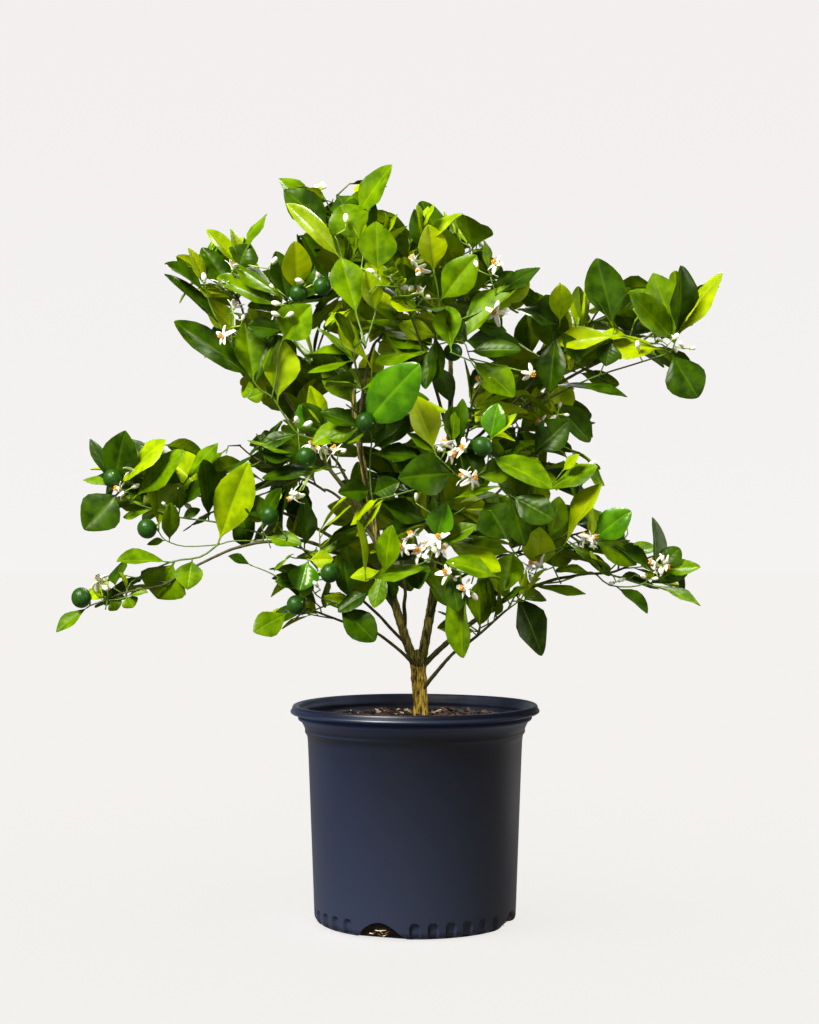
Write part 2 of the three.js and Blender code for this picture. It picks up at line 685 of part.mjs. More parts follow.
/** Leaves along every shoot, close together at its tip, each where it finds room. */
function growLeaves(mass, shoots, { fruit, blossom }, random) {
  const leaves = [];
  const probes = [];
  const balls = [
    ...fruit.map(({ centre, radius }) => ({ centre, radius: radius + 0.5 })),
    ...blossom.map(({ centre }) => ({ centre, radius: BLOSSOM_RADIUS * 0.7 })),
  ];
  const wood = [...limbStretches, ...shoots.flatMap(({ nodes }) => stretches(nodes))];
  const isFree = (p) => depthIn(mass, p) < 1 && clearOfMasses(mass, p) && clearOfLimbs(p, LEAF_CLEARANCE);
  const hasRoom = (probe, start) =>
    probe.points.every(isFree) &&
    balls.every((ball) => probe.points.every((p) => p.distanceTo(ball.centre) > ball.radius)) &&
    !probes.some((other) => leavesCross(probe, other)) &&
    !wood.some(([p, q]) => !onTwig(start, p, q) && probe.faces.some((face) => crosses(p, q, face)));

  shoots.forEach((shoot, s) => {
    for (let k = 0; ; k++) {
      const size = shoot.young ? YOUNG_LEAF : 1;
      const first = shoot.bears ? FIRST_LEAF_BY_FRUIT : FIRST_LEAF;
      const back = first + LEAF_SPACING * size * k * (0.5 + 0.12 * k);
      const place = placeOn(shoot, back);
      if (place === null) return;
      const spread = radians(LEAF_SPREAD + SPREAD_STEP * Math.min(k, 3)) * (shoot.young ? YOUNG_SPREAD : 1);
      for (let attempt = 0; attempt < LEAF_TRIES; attempt++) {
        const azimuth = (k + s) * GOLDEN_ANGLE + attempt * TRY_TURN;
        const tilt = spread * (0.8 + 0.4 * random());
        const length = size * (1 - LEAF_SHRINK * attempt);
        const leaf = leafAt(place.point, place.heading, azimuth, tilt, length, random);
        const probe = leafProbe(leaf);
        if (hasRoom(probe, place.point)) {
          leaves.push(leaf);
          probes.push(probe);
          break;
        }
      }
    }
  });
  return leaves;
}

/** Whether a point lies on the stretch of twig from p to q, or within a few radii of it. */
function onTwig(point, p, q) {
  const line = new THREE.Line3(p, q);
  return line.closestPointToPoint(point, true, vec()).distanceTo(point) < 3 * TWIG_RADIUS;
}

/** Grows one mass: its twigs, then its fruit and blossom, then its leaves. */
function growMass(mass) {
  const random = seeded(mass.seed);
  const shoots = growShoots(mass, random);
  const borne = bearFruit(mass, shoots, random);
  return { shoots, ...borne, leaves: growLeaves(mass, shoots, borne, random) };
}

/** A blossom as a closed star of five petals on a stalk that starts in the twig. */
function blossomSolid({ foot, lean, turn }) {
  const rim = Array.from({ length: 2 * PETALS }, (_, i) => {
    const isTip = i % 2 === 0;
    const spoke = squareTo(lean, turn + (i * Math.PI) / PETALS);
    const height = BLOSSOM_STALK + (isTip ? 2 : -2);
    return foot
      .clone()
      .addScaledVector(lean, height)
      .addScaledVector(spoke, isTip ? BLOSSOM_RADIUS : BLOSSOM_RADIUS * 0.35);
  });
  const top = foot.clone().addScaledVector(lean, BLOSSOM_STALK);
  const bottom = foot.clone().addScaledVector(lean, -2);
  const corners = [];
  for (let i = 0; i < rim.length; i += 2) {
    const [before, tip, after] = [rim[(i + rim.length - 1) % rim.length], rim[i], rim[i + 1]];
    corners.push(top, before, tip, top, tip, after, before, after, tip, before, bottom, after);
  }
  return solid(new THREE.BufferGeometry().setFromPoints(corners));
}

/** A fruit as a ball whose poles lie on its stalk's line. */
function fruitSolid({ centre, radius, lean }) {
  const ball = new THREE.SphereGeometry(radius, 6, 4);
  ball.applyQuaternion(new THREE.Quaternion().setFromUnitVectors(vec(0, 1, 0), lean));
  return solid(ball.translate(centre.x, centre.y, centre.z));
}

/** A shoot as a slim tapering twig. */
function shootSolid({ nodes, isStem }) {
  const foot = isStem ? STEM_RADIUS : TWIG_RADIUS;
  const tip = TWIG_RADIUS * 0.8;
  const radii = nodes.map((_, i) => THREE.MathUtils.lerp(foot, tip, i / (nodes.length - 1)));
  return tube(nodes, radii, isStem ? 4 : 3);
}

function massSolid({ shoots, fruit, blossom, leaves }) {
  const pieces = [
    ...shoots.map(shootSolid),
    ...fruit.map(fruitSolid),
    ...blossom.map(blossomSolid),
    ...leaves.map(leafSolid),
  ];
  return largest(pieces.reduce((sum, piece) => sum.add(piece)));
}

for (const mass of CROWN) {
  addNode(`mass_${mass.name}`, massSolid(growMass(mass)), FOLIAGE);
}

export default tree;
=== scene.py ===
# %% [markdown]
# # A calamondin orange tree in a nursery pot
#
# The plant is a small citrus tree in flower and young fruit. It stands in a blow-moulded pot filled with a
# mix of bark chips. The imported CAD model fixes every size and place. Its solids hold few leaves, so here the
# crown grows again by the same seeded rule, and goes on to finer twigs and life-size leaves in the same
# spaces.

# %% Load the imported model
import json
import math

import bpy
import numpy as np
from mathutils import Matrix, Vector, noise

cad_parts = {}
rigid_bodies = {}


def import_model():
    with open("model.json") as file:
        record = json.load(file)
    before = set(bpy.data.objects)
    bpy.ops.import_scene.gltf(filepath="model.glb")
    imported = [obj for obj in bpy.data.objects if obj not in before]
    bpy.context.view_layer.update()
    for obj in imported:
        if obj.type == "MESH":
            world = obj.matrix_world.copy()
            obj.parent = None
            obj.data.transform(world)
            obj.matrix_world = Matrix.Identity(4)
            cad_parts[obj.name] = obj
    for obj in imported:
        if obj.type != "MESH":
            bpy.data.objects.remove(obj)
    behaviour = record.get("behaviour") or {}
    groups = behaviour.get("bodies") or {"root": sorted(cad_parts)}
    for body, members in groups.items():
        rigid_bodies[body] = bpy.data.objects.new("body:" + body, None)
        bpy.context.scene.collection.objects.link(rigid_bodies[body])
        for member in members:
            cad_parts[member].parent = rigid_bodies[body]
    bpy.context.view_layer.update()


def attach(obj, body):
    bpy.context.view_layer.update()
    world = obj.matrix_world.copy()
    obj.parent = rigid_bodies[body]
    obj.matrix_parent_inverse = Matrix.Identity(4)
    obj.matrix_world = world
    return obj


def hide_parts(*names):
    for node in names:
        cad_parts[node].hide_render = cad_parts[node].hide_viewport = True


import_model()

MM = 0.001  # the layout and the growing rule are in millimetres, and meshes are scaled to metres

# %% [markdown]
# ## Camera
#
# The camera comes first, because every later look at the plant depends on it. It stands two metres in front
# of the pot at the height of the lowest leaves, and looks up by a degree and a half. So the pot's rim shows
# as a thin ellipse and the crown is seen level. A long lens keeps the boughs' proportions true.

# %% Camera
PICTURE_HEIGHT = 1024  # rows of the upright picture, which the sensor's long side covers
FOCAL_ROWS = 1785  # focal length in rows of the picture
HORIZON_ROW = 561.4
AXIS_COLUMN_SHIFT = 5.5  # how far the pot's axis lies right of the picture's middle, in columns
CAMERA_DISTANCE = 2.017
CAMERA_HEIGHT = 0.403
SENSOR = 36.0


def put_in_scene(name, data):
    """A new object of the scene."""
    made = bpy.data.objects.new(name, data)
    bpy.context.scene.collection.objects.link(made)
    return made


lens = bpy.data.cameras.new("studio_camera")
lens.sensor_width = SENSOR
lens.lens = FOCAL_ROWS * SENSOR / PICTURE_HEIGHT
camera = put_in_scene("studio_camera", lens)
pitch = math.atan((HORIZON_ROW - PICTURE_HEIGHT / 2) / FOCAL_ROWS)
yaw = math.atan(AXIS_COLUMN_SHIFT / FOCAL_ROWS)
camera.location = (0, -CAMERA_DISTANCE, CAMERA_HEIGHT)
camera.rotation_euler = (math.pi / 2 + pitch, 0, yaw)
bpy.context.scene.camera = camera
print("lens", round(lens.lens, 2), "mm, pitch", round(math.degrees(pitch), 2), "degrees")

# %% [markdown]
# ## Repeatable chance
#
# A plant looks grown only if every leaf differs a little, yet the same plant has to come out of every run.
# A small generator of our own gives the same numbers here as in the CAD source, so both grow one tree.

# %% Seeded numbers
WORD = 0xFFFFFFFF


def seeded(seed):
    """Repeatable numbers from 0 to 1."""
    state = seed & WORD

    def draw():
        nonlocal state
        state = (state + 0x6D2B79F5) & WORD
        mixed = ((state ^ (state >> 15)) * (state | 1)) & WORD
        mixed ^= (mixed + (mixed ^ (mixed >> 7)) * (mixed | 61)) & WORD
        return (mixed ^ (mixed >> 14)) / 4294967296

    return draw


def between(draw, low, high):
    """A number from low to high."""
    return low + (high - low) * draw()


print("first number of stream 1:", seeded(1)())

# %% [markdown]
# ## The crown's layout
#
# A tree is easiest to plan as a few named masses of foliage, each on its own bough. The table gives each
# mass a centre, a reach and the bough that feeds it. One long random walk would be shorter to write, but
# then no mass could be put where the real crown has it.

# %% Layout of trunk, leaders and masses
GAP = 0.3
SOIL_CROWN = 228
TRUNK_FOOT = (7, 0, SOIL_CROWN - 4)
TRUNK_FORK = (3, 0, 296)
TRUNK_RADII = (13.2, 11, 9.4, 8.6, 8.5, 9.4, 10.6, 7.5)
LEADER_START = 0.72
LEADERS = {
    "leader_left": {"bend": (-50, -5, 465), "tip": (-80, -12, 690), "radii": (5.3, 4.4, 3.4, 2.2)},
    "leader_right": {"bend": (34, 10, 470), "tip": (40, 12, 655), "radii": (5.6, 4.6, 3.4, 2.2)},
}
LEFT, RIGHT = LEADERS
# Name, limb it leaves, share along it, radius there, bend, centre, reach, then the numbers of shoots, the
# share of young ones, and the tips with fruit and with blossom, and the seed.
MASS_KEYS = "name from share radius bend centre reach shoots young fruit blossom seed".split()
CROWN_ROWS = [
    ("left_low", LEFT, 0.2, 2.6, (-125, -35, 425), (-328, -62, 366), (94, 62, 58), 3, 0.3, 1, 1, 183),
    ("left_mid", LEFT, 0.29, 2.4, (-125, -12, 448), (-292, -30, 492), (104, 80, 76), 4, 0, 2, 0, 129),
    ("left_inner", LEFT, 0.38, 1.9, (-80, 10, 470), (-165, 10, 520), (92, 86, 86), 4, 0, 1, 1, 386),
    ("left_upper", LEFT, 0.43, 2.8, (-110, -12, 530), (-205, -18, 692), (98, 88, 112), 6, 0.3, 1, 3, 301),
    ("top_left", LEFT, 1, None, None, (-84, -10, 778), (90, 88, 96), 5, 0.1, 0, 1, 264),
    ("top_right", RIGHT, 1, None, None, (60, 15, 740), (104, 92, 92), 5, 0.3, 0, 2, 301),
    ("right_inner", RIGHT, 0.63, 2.2, (88, 12, 560), (190, 12, 665), (78, 84, 90), 4, 0.1, 0, 0, 4),
    ("right_upper", RIGHT, 0.56, 2.8, (125, 0, 578), (284, -10, 668), (78, 74, 80), 4, 0, 0, 0, 215),
    ("right_low", "trunk", 0.78, 3.2, (105, -25, 362), (262, -15, 405), (76, 72, 66), 4, 0.2, 0, 1, 301),
    ("right_mid", RIGHT, 0.22, 2.0, (75, -20, 400), (165, -38, 430), (84, 82, 76), 4, 0.1, 0, 1, 213),
    ("right_foot", "trunk", 0.42, 2.4, (38, -30, 296), (92, -80, 342), (76, 62, 54), 2, 0, 0, 0, 314),
    ("left_foot", "trunk", 0.8, 2.0, (-35, -24, 318), (-112, -60, 350), (86, 64, 46), 2, 0, 1, 0, 65),
    ("left_front", LEFT, 0.09, 1.8, (-48, -36, 350), (-125, -58, 418), (92, 74, 66), 3, 0, 1, 1, 207),
    ("front_upper", LEFT, 0.5, 2.0, (-58, -45, 515), (-60, -112, 595), (96, 80, 96), 5, 0, 1, 0, 4),
    ("front_right", RIGHT, 0.46, 2.2, (48, -38, 510), (68, -105, 585), (92, 76, 92), 5, 0.1, 1, 0, 100),
    ("front_low", RIGHT, 0.16, 2.2, (28, -40, 380), (22, -110, 455), (104, 76, 88), 5, 0.1, 0, 3, 326),
    ("front_top", RIGHT, 0.7, 2.0, (18, -35, 610), (-12, -90, 695), (96, 76, 86), 4, 0.1, 0, 2, 390),
    ("centre_right", RIGHT, 0.35, 2.2, (68, 4, 455), (142, 0, 530), (88, 88, 88), 4, 0.1, 1, 0, 53),
    ("back_top", LEFT, 0.68, 2.4, (-55, 45, 630), (-20, 118, 722), (112, 90, 104), 4, 0.2, 0, 1, 127),
    ("back_left", LEFT, 0.34, 2.6, (-78, 58, 495), (-138, 140, 585), (106, 96, 106), 4, 0.1, 1, 1, 179),
    ("back_right", RIGHT, 0.4, 2.6, (72, 62, 510), (132, 142, 600), (106, 96, 104), 4, 0.1, 1, 1, 315),
    ("back_low", LEFT, 0.13, 2.6, (-12, 60, 368), (-18, 158, 455), (116, 94, 92), 4, 0.1, 1, 1, 93),
]
MASSES = [dict(zip(MASS_KEYS, row)) for row in CROWN_ROWS]
print(len(MASSES), "masses of foliage")

# %% [markdown]
# ## Limbs
#
# The trunk forks low into two leaders, and thin boughs leave both. Each limb is one tapering curve that bends
# through one point. A chain of random steps would look livelier up close, but would miss the mass that it
# carries. The small kinks of the real boughs come later, as relief on the bark.

# %% Limb curves
ENTRY = 0.78  # how far out in its mass's space a bough ends
BOUGH_TIP = 1.3
BEND_STEP = 56
LENGTH_PARTS = 200  # straight parts that a curve's length is added up from


def bezier(limb, shares):
    """Points of a limb's middle line at shares of its way."""
    t = np.atleast_1d(shares)[:, None]
    start, control, tip = limb["curve"]
    return (1 - t) ** 2 * start + 2 * t * (1 - t) * control + t**2 * tip


def limb_row(limb, parts):
    """Points along a limb's middle line, at even shares of its way."""
    return bezier(limb, np.linspace(0, 1, parts + 1))


def radii_at(limb, shares):
    """A limb's radii at shares of its way."""
    return np.interp(shares, np.linspace(0, 1, len(limb["radii"])), limb["radii"])


def smooth_row(points, parts):
    """A row of points rounded into a smooth curve that passes through them."""
    ends = np.vstack([2 * points[0] - points[1], points, 2 * points[-1] - points[-2]])
    rows = []
    for i in range(1, len(ends) - 2):
        a, b, c, d = ends[i - 1 : i + 3]
        t = (np.arange(parts) / parts)[:, None]
        square, cube = 2 * a - 5 * b + 4 * c - d, 3 * b - a - 3 * c + d
        rows.append(0.5 * (2 * b + (c - a) * t + square * t**2 + cube * t**3))
    return np.vstack(rows + [points[-1:]])


def lengths(vectors):
    """The length of every vector in an array."""
    return np.linalg.norm(vectors, axis=-1)


def length_of(points):
    """The length of a row of points."""
    return float(lengths(np.diff(points, axis=0)).sum())


def add_limb(limbs, name, start, bend, tip, radii, steps=None):
    """Plans one limb from its start through a bend to its tip."""
    start, bend, tip = (np.array(p, float) for p in (start, bend, tip))
    limb = {"curve": (start, 2 * bend - (start + tip) / 2, tip), "radii": radii}
    limb["length"] = length_of(limb_row(limb, LENGTH_PARTS))
    limb["steps"] = steps or math.ceil(limb["length"] / BEND_STEP)
    limbs[name] = limb


def depth_in(mass, point):
    """How far out in a mass's space a point lies: 0 at the centre, 1 at the surface."""
    return float(np.linalg.norm((point - np.array(mass["centre"])) / mass["reach"]))


def plan_limbs():
    """The trunk, the leaders, and a bough for every mass that has one."""
    limbs = {}
    middle = (np.array(TRUNK_FOOT) + TRUNK_FORK) / 2
    add_limb(limbs, "trunk", TRUNK_FOOT, middle, TRUNK_FORK, TRUNK_RADII, len(TRUNK_RADII) - 1)
    for name, leader in LEADERS.items():
        start = bezier(limbs["trunk"], LEADER_START)[0]
        add_limb(limbs, name, start, leader["bend"], leader["tip"], leader["radii"])
    for mass in MASSES:
        mass["limb"] = mass["from"]
        if mass["bend"]:
            mass["limb"] = "bough_" + mass["name"]
            bend, centre = np.array(mass["bend"], float), np.array(mass["centre"], float)
            tip = centre + (bend - centre) * ENTRY / depth_in(mass, bend)
            start = bezier(limbs[mass["from"]], mass["share"])[0]
            add_limb(limbs, mass["limb"], start, bend, tip, (mass["radius"], BOUGH_TIP))
    return limbs


LIMBS = plan_limbs()
print(len(LIMBS), "limbs, the longest", round(max(limb["length"] for limb in LIMBS.values())), "mm")

# %% [markdown]
# ## Room to grow
#
# Twigs and leaves may not pass through each other or through a limb, and each mass keeps to its own space.
# Testing every pair of meshes would be slow. Instead balls along the limbs, ellipsoids for the masses and
# a few points, edges and faces for each leaf stand in for the real shapes, and numpy tests them in bulk.

# %% Tests of room
MARGIN = 0.03  # how much further into its own space than into any other a point must lie
LIMB_BALL_STEP = 5
CENTRES = np.array([mass["centre"] for mass in MASSES], float)
REACHES = np.array([mass["reach"] for mass in MASSES], float)


def ball_row(limb):
    """Balls along one limb as rows of x, y, z and radius."""
    shares = np.linspace(0, 1, math.ceil(limb["length"] / LIMB_BALL_STEP) + 1)
    return np.column_stack([bezier(limb, shares), radii_at(limb, shares)])


LIMB_BALLS = np.vstack([ball_row(limb) for limb in LIMBS.values()])


def stretches(points):
    """The pairs of neighbours in a row of points."""
    return np.stack([points[:-1], points[1:]], axis=1)


LIMB_STRETCHES = np.vstack([stretches(limb_row(limb, limb["steps"])) for limb in LIMBS.values()])


def depths_at(points):
    """How far out in every mass's space each point lies."""
    return lengths((points[..., None, :] - CENTRES) / REACHES)


def clear_of_masses(index, points):
    """Whether points keep out of every other mass's space."""
    depth = depths_at(points)
    own = np.minimum(depth[:, index], 1)
    depth[:, index] = np.inf
    return bool((depth > own[:, None] + MARGIN).all())


def clear_of_limbs(points, clearance):
    """Whether points keep a clearance from every limb."""
    gaps = lengths(points[:, None] - LIMB_BALLS[:, :3]) - LIMB_BALLS[:, 3]
    return bool((gaps > clearance).all())


def any_crossing(segments, faces):
    """Whether any segment, a pair of points, passes through any of the triangles."""
    start, along = segments[:, 0, None], (segments[:, 1] - segments[:, 0])[:, None]
    corner, e1, e2 = faces[None, :, 0], (faces[:, 1] - faces[:, 0])[None], (faces[:, 2] - faces[:, 0])[None]
    h = np.cross(along, e2)
    s = start - corner
    r = np.cross(s, e1)
    det = (e1 * h).sum(2)
    with np.errstate(divide="ignore", invalid="ignore"):
        u, v, t = (s * h).sum(2) / det, (along * r).sum(2) / det, (e2 * r).sum(2) / det
    inside = (u >= 0) & (v >= 0) & (u + v <= 1) & (t >= 0) & (t <= 1)
    return bool((inside & (abs(det) > 1e-9)).any())


print(len(LIMB_BALLS), "balls stand in for the limbs")

# %% [markdown]
# ## Twigs
#
# A citrus twig grows in short straight stretches, sways a little and turns up to the light. A mass has one
# stem, which runs on from its bough, and side shoots set round it by the golden angle. The same function
# grows the finer twigs later, only with shorter stretches.

# %% Directions
UP = np.array([0.0, 0.0, 1.0])
SIDEWAYS = np.array([1.0, 0.0, 0.0])


def unit(v):
    """A vector's direction."""
    return v / np.linalg.norm(v)


def tilted(direction, towards, angle):
    """A direction tilted by an angle towards another that is square to it."""
    return direction * math.cos(angle) + towards * math.sin(angle)


def square_to(direction, angle):
    """A unit vector square to a direction, turned round it by an angle."""
    side = unit(np.cross(direction, UP if abs(direction[2]) < 0.9 else SIDEWAYS))
    return tilted(side, np.cross(side, direction), angle)


def squared(v, axis):
    """The direction of that part of a vector which is square to an axis."""
    return unit(v - axis * v.dot(axis))


def sway_of(draw):
    """A small random vector."""
    return np.array([draw() - 0.5, draw() - 0.5, draw() - 0.5])


print("square to up:", square_to(UP, 0))

# %% Growing twigs
STRETCH = 36  # length of one straight stretch of a twig
TWIG_REACH = 0.78
STEM_END = 0.6
GOLDEN_ANGLE = math.radians(137.5)
SHOOT_ANGLE = math.radians(55)
SHOOT_LIFT = 0.16
SHOOT_SWAY = 0.35
LONG_SHOOTS = 0.3  # share of the shoots that have two stretches
TWIG_CLEARANCE = 2.5
TWIG_TESTS = 8


def twig_has_room(index, start, end):
    """Whether a twig from start to end keeps clear of the limbs and of the other masses' spaces."""
    tests = start + (end - start) * np.arange(1, TWIG_TESTS + 1)[:, None] / TWIG_TESTS
    return clear_of_masses(index, tests) and clear_of_limbs(tests, TWIG_CLEARANCE)


def grow_shoot(index, start, direction, joints, draw, stretch=STRETCH, reach=TWIG_REACH):
    """The nodes of a shoot that turns up and sways as it grows, and stops where its room ends."""
    nodes, heading = [start], direction
    for _ in range(joints):
        length = stretch * (0.9 + 0.4 * draw())
        sway = sway_of(draw)
        end = nodes[-1] + heading * length
        if not twig_has_room(index, nodes[-1], end) or depth_in(MASSES[index], end) > reach:
            break
        nodes.append(end)
        heading = unit(heading + SHOOT_SWAY * sway + SHOOT_LIFT * UP)
    return np.array(nodes)


def grow_stem(index, draw):
    """The stem of a mass, from its bough's tip towards the far side of its space."""
    mass = MASSES[index]
    limb = LIMBS[mass["limb"]]
    before, end = limb_row(limb, limb["steps"])[-2:]
    tangent = unit(end - before)
    foot = end + tangent * GAP
    nodes = [foot, foot + tangent * STRETCH / 2]
    goal = np.array(mass["centre"]) + (np.array(mass["centre"]) - foot) * STEM_END / ENTRY
    for _ in range(math.floor(np.linalg.norm(goal - nodes[1]) / STRETCH + 0.5)):
        aim = unit(unit(goal - nodes[-1]) + SHOOT_SWAY * sway_of(draw))
        end = nodes[-1] + aim * STRETCH
        if not twig_has_room(index, nodes[-1], end):
            break
        nodes.append(end)
    return np.array(nodes)


def grow_shoots(index, draw):
    """The stem of a mass and its side shoots."""
    mass, stem = MASSES[index], grow_stem(index, draw)
    shoots = [{"nodes": stem, "young": False, "rank": 0}]
    for i in range(mass["shoots"]):
        along = (i + 0.5) * (len(stem) - 1) / mass["shoots"]
        k = math.floor(along)
        start = stem[k] + (stem[k + 1] - stem[k]) * (along - k)
        heading = unit(stem[k + 1] - stem[k])
        out = square_to(heading, i * GOLDEN_ANGLE + mass["seed"])
        direction = tilted(heading, out, SHOOT_ANGLE * (0.75 + 0.5 * draw()))
        young = draw() < mass["young"]
        joints = 2 if draw() < LONG_SHOOTS else 1
        nodes = grow_shoot(index, start, direction, joints, draw)
        if len(nodes) > 1:
            shoots.append({"nodes": nodes, "young": young, "rank": 1})
    return shoots


def place_on(nodes, back):
    """The point of a shoot at a distance back from its tip, and the direction of growth there."""
    for i in range(len(nodes) - 1, 0, -1):
        step = nodes[i] - nodes[i - 1]
        length = float(np.linalg.norm(step))
        if back <= length:
            return nodes[i] - step / length * back, step / length
        back -= length
    return None


print("a stretch of twig is", STRETCH, "mm long")

# %% [markdown]
# ## Fruit and blossom on the tips
#
# Calamondins carry flowers and fruit together. Fruit hangs from the lowest tips of a mass, where the weight
# bends them, and blossom opens on the next ones up.

# %% Growing fruit and blossom
FRUIT_RADIUS = 11
BLOSSOM_RADIUS = 13
BLOSSOM_STALK = 12
TIP_LEAN = 0.6  # how far a fruit or a blossom leans off its twig's line
FRUIT_SEAT = 1.5  # how deep a twig's tip sits in its fruit


def bear_fruit(index, shoots, draw):
    """Fruit on the lowest tips of a mass, and blossom on the next ones up."""
    mass = MASSES[index]
    fruit, blossom = [], []
    order = sorted(shoots, key=lambda shoot: shoot["nodes"][-1][2])
    for rank, shoot in enumerate(order[: mass["fruit"] + mass["blossom"]]):
        point, heading = place_on(shoot["nodes"], 0)
        turn = 2 * math.pi * draw()
        lean = unit(TIP_LEAN * square_to(heading, turn) + heading)
        is_fruit = rank < mass["fruit"]
        radius = FRUIT_RADIUS * (0.85 + 0.25 * draw()) if is_fruit else BLOSSOM_RADIUS
        reach, clearance = (radius - FRUIT_SEAT, radius + 1) if is_fruit else (BLOSSOM_STALK, radius)
        centre = point + lean * reach
        if clear_of_masses(index, centre[None]) and clear_of_limbs(centre[None], clearance):
            borne = {"foot": point, "centre": centre, "radius": radius}
            (fruit if is_fruit else blossom).append(borne)
            shoot["bears"] = True
    return fruit, blossom


print("fruit", 2 * FRUIT_RADIUS, "mm and blossom", 2 * BLOSSOM_RADIUS, "mm across")

# %% [markdown]
# ## Leaves that find their room
#
# A leaf is planned as a frame: where it starts, where it points, which way its upper side faces, its size
# and its curl. It is tried round its twig at several angles, a little smaller each time, and dropped where
# none is free. That keeps the crown open between the sprays and free of leaves that cut each other.

# %% The frame of a leaf
LEAF_LENGTH = 78
LEAF_WIDTH = 0.53
LEAF_THICKNESS = 1.3
LEAF_LIFT = 0.3
FACE_TWIG = 0.5
FACE_UP = 0.7
FACE_SWAY = 0.8
LEAF_MIDDLE = 0.52
PROBE_REACH = 0.55  # the reach of a leaf round its middle, as a share of its length
CROWN_DROP = 60  # how far below itself a leaf looks for the middle of the crown
RIM = np.array([(0, 0), (0.38, 1), (0.72, 0.86), (1, 0), (0.72, -0.86), (0.38, -1)], float)


def turned_to_light(leaf, share):
    """A leaf with its upper side turned away from the middle of the crown, by a share of the way."""
    outward = unit(leaf["start"] - (0, 0, leaf["start"][2] - CROWN_DROP))
    face = squared(leaf["face"] + share * outward, leaf["along"])
    return {**leaf, "face": face, "side": np.cross(leaf["along"], face)}


def leaf_frame(start, along, face):
    """Where a leaf or a petal starts, and its three directions."""
    return {"start": start, "along": along, "face": face, "side": np.cross(along, face)}


def leaf_at(start, heading, azimuth, spread, size, draw):
    """A leaf's frame."""
    along = tilted(heading, square_to(heading, azimuth), spread)
    along = unit(along + UP * LEAF_LIFT * (draw() - 0.35))
    face = squared(heading * FACE_TWIG + UP * FACE_UP + FACE_SWAY * sway_of(draw), along)
    length = LEAF_LENGTH * size * (0.82 + 0.36 * draw())
    width = length * LEAF_WIDTH * (0.9 + 0.2 * draw())
    curl = 0.04 + 0.12 * draw()
    return {**leaf_frame(start, along, face), "length": length, "width": width, "curl": curl}


def leaf_points(leaf, u, v, height):
    """Points of a leaf: u from root to tip, v square to that, and a height, all as columns."""
    lift = height - leaf["curl"] * leaf["length"] * u**2
    return leaf["start"] + u * leaf["length"] * leaf["along"] + v * leaf["side"] + lift * leaf["face"]


def leaf_probe(leaf, share=1.0):
    """Points, edges and triangles that stand for a leaf, or for its middle share, in the tests of room."""
    rim = leaf_points(leaf, RIM[:, :1], RIM[:, 1:] * leaf["width"] / 2 * share, 0)
    middle = leaf_points(leaf, LEAF_MIDDLE, 0, LEAF_THICKNESS)
    following = np.roll(rim, -1, axis=0)
    middles = np.broadcast_to(middle, rim.shape)
    return {
        "points": np.vstack([rim[1:], middle[None], ((rim + following) / 2)[1:-1]]),
        "edges": np.vstack([np.stack([rim, following], 1), np.stack([middles, rim], 1)]),
        "faces": np.stack([middles, rim, following], 1),
        "centre": middle,
        "radius": leaf["length"] * PROBE_REACH,
    }


print("leaves up to", round(LEAF_LENGTH * 1.18), "mm long")

# %% Leaves that join a crown
YOUNG_LEAF = 0.55
LEAF_TRIES = 9
LEAF_SHRINK = 0.04  # how much smaller a leaf is tried each time
TRY_TURN = 0.75  # and how far it is turned on, in radians
FIRST_LEAF = 1.5  # how far behind a twig's tip its first leaf starts
FIRST_LEAF_BY_FRUIT = 6
LEAF_SPREAD = 38
SPREAD_STEP = 10
YOUNG_SPREAD = 0.6
LEAF_CLEARANCE = 4
LEAF_SPACING = 18
STALK_ROOM = 3.6  # wood that passes this near to a leaf's start carries it
WOOD_SEARCH = 40
FRUIT_ROOM = 0.5  # what leaves keep clear round a fruit
BLOSSOM_ROOM = 0.7  # and the share of a blossom's radius that they keep clear of


def wood_near(wood, start, centre, radius):
    """The stretches of wood near a leaf, apart from those that pass by its start."""
    foot, step = wood[:, 0], wood[:, 1] - wood[:, 0]
    near = lengths(foot + step / 2 - centre) < radius + WOOD_SEARCH
    foot, step, wood = foot[near], step[near], wood[near]
    share = np.clip(((start - foot) * step).sum(1) / (step**2).sum(1), 0, 1)
    return wood[lengths(foot + share[:, None] * step - start) >= STALK_ROOM]


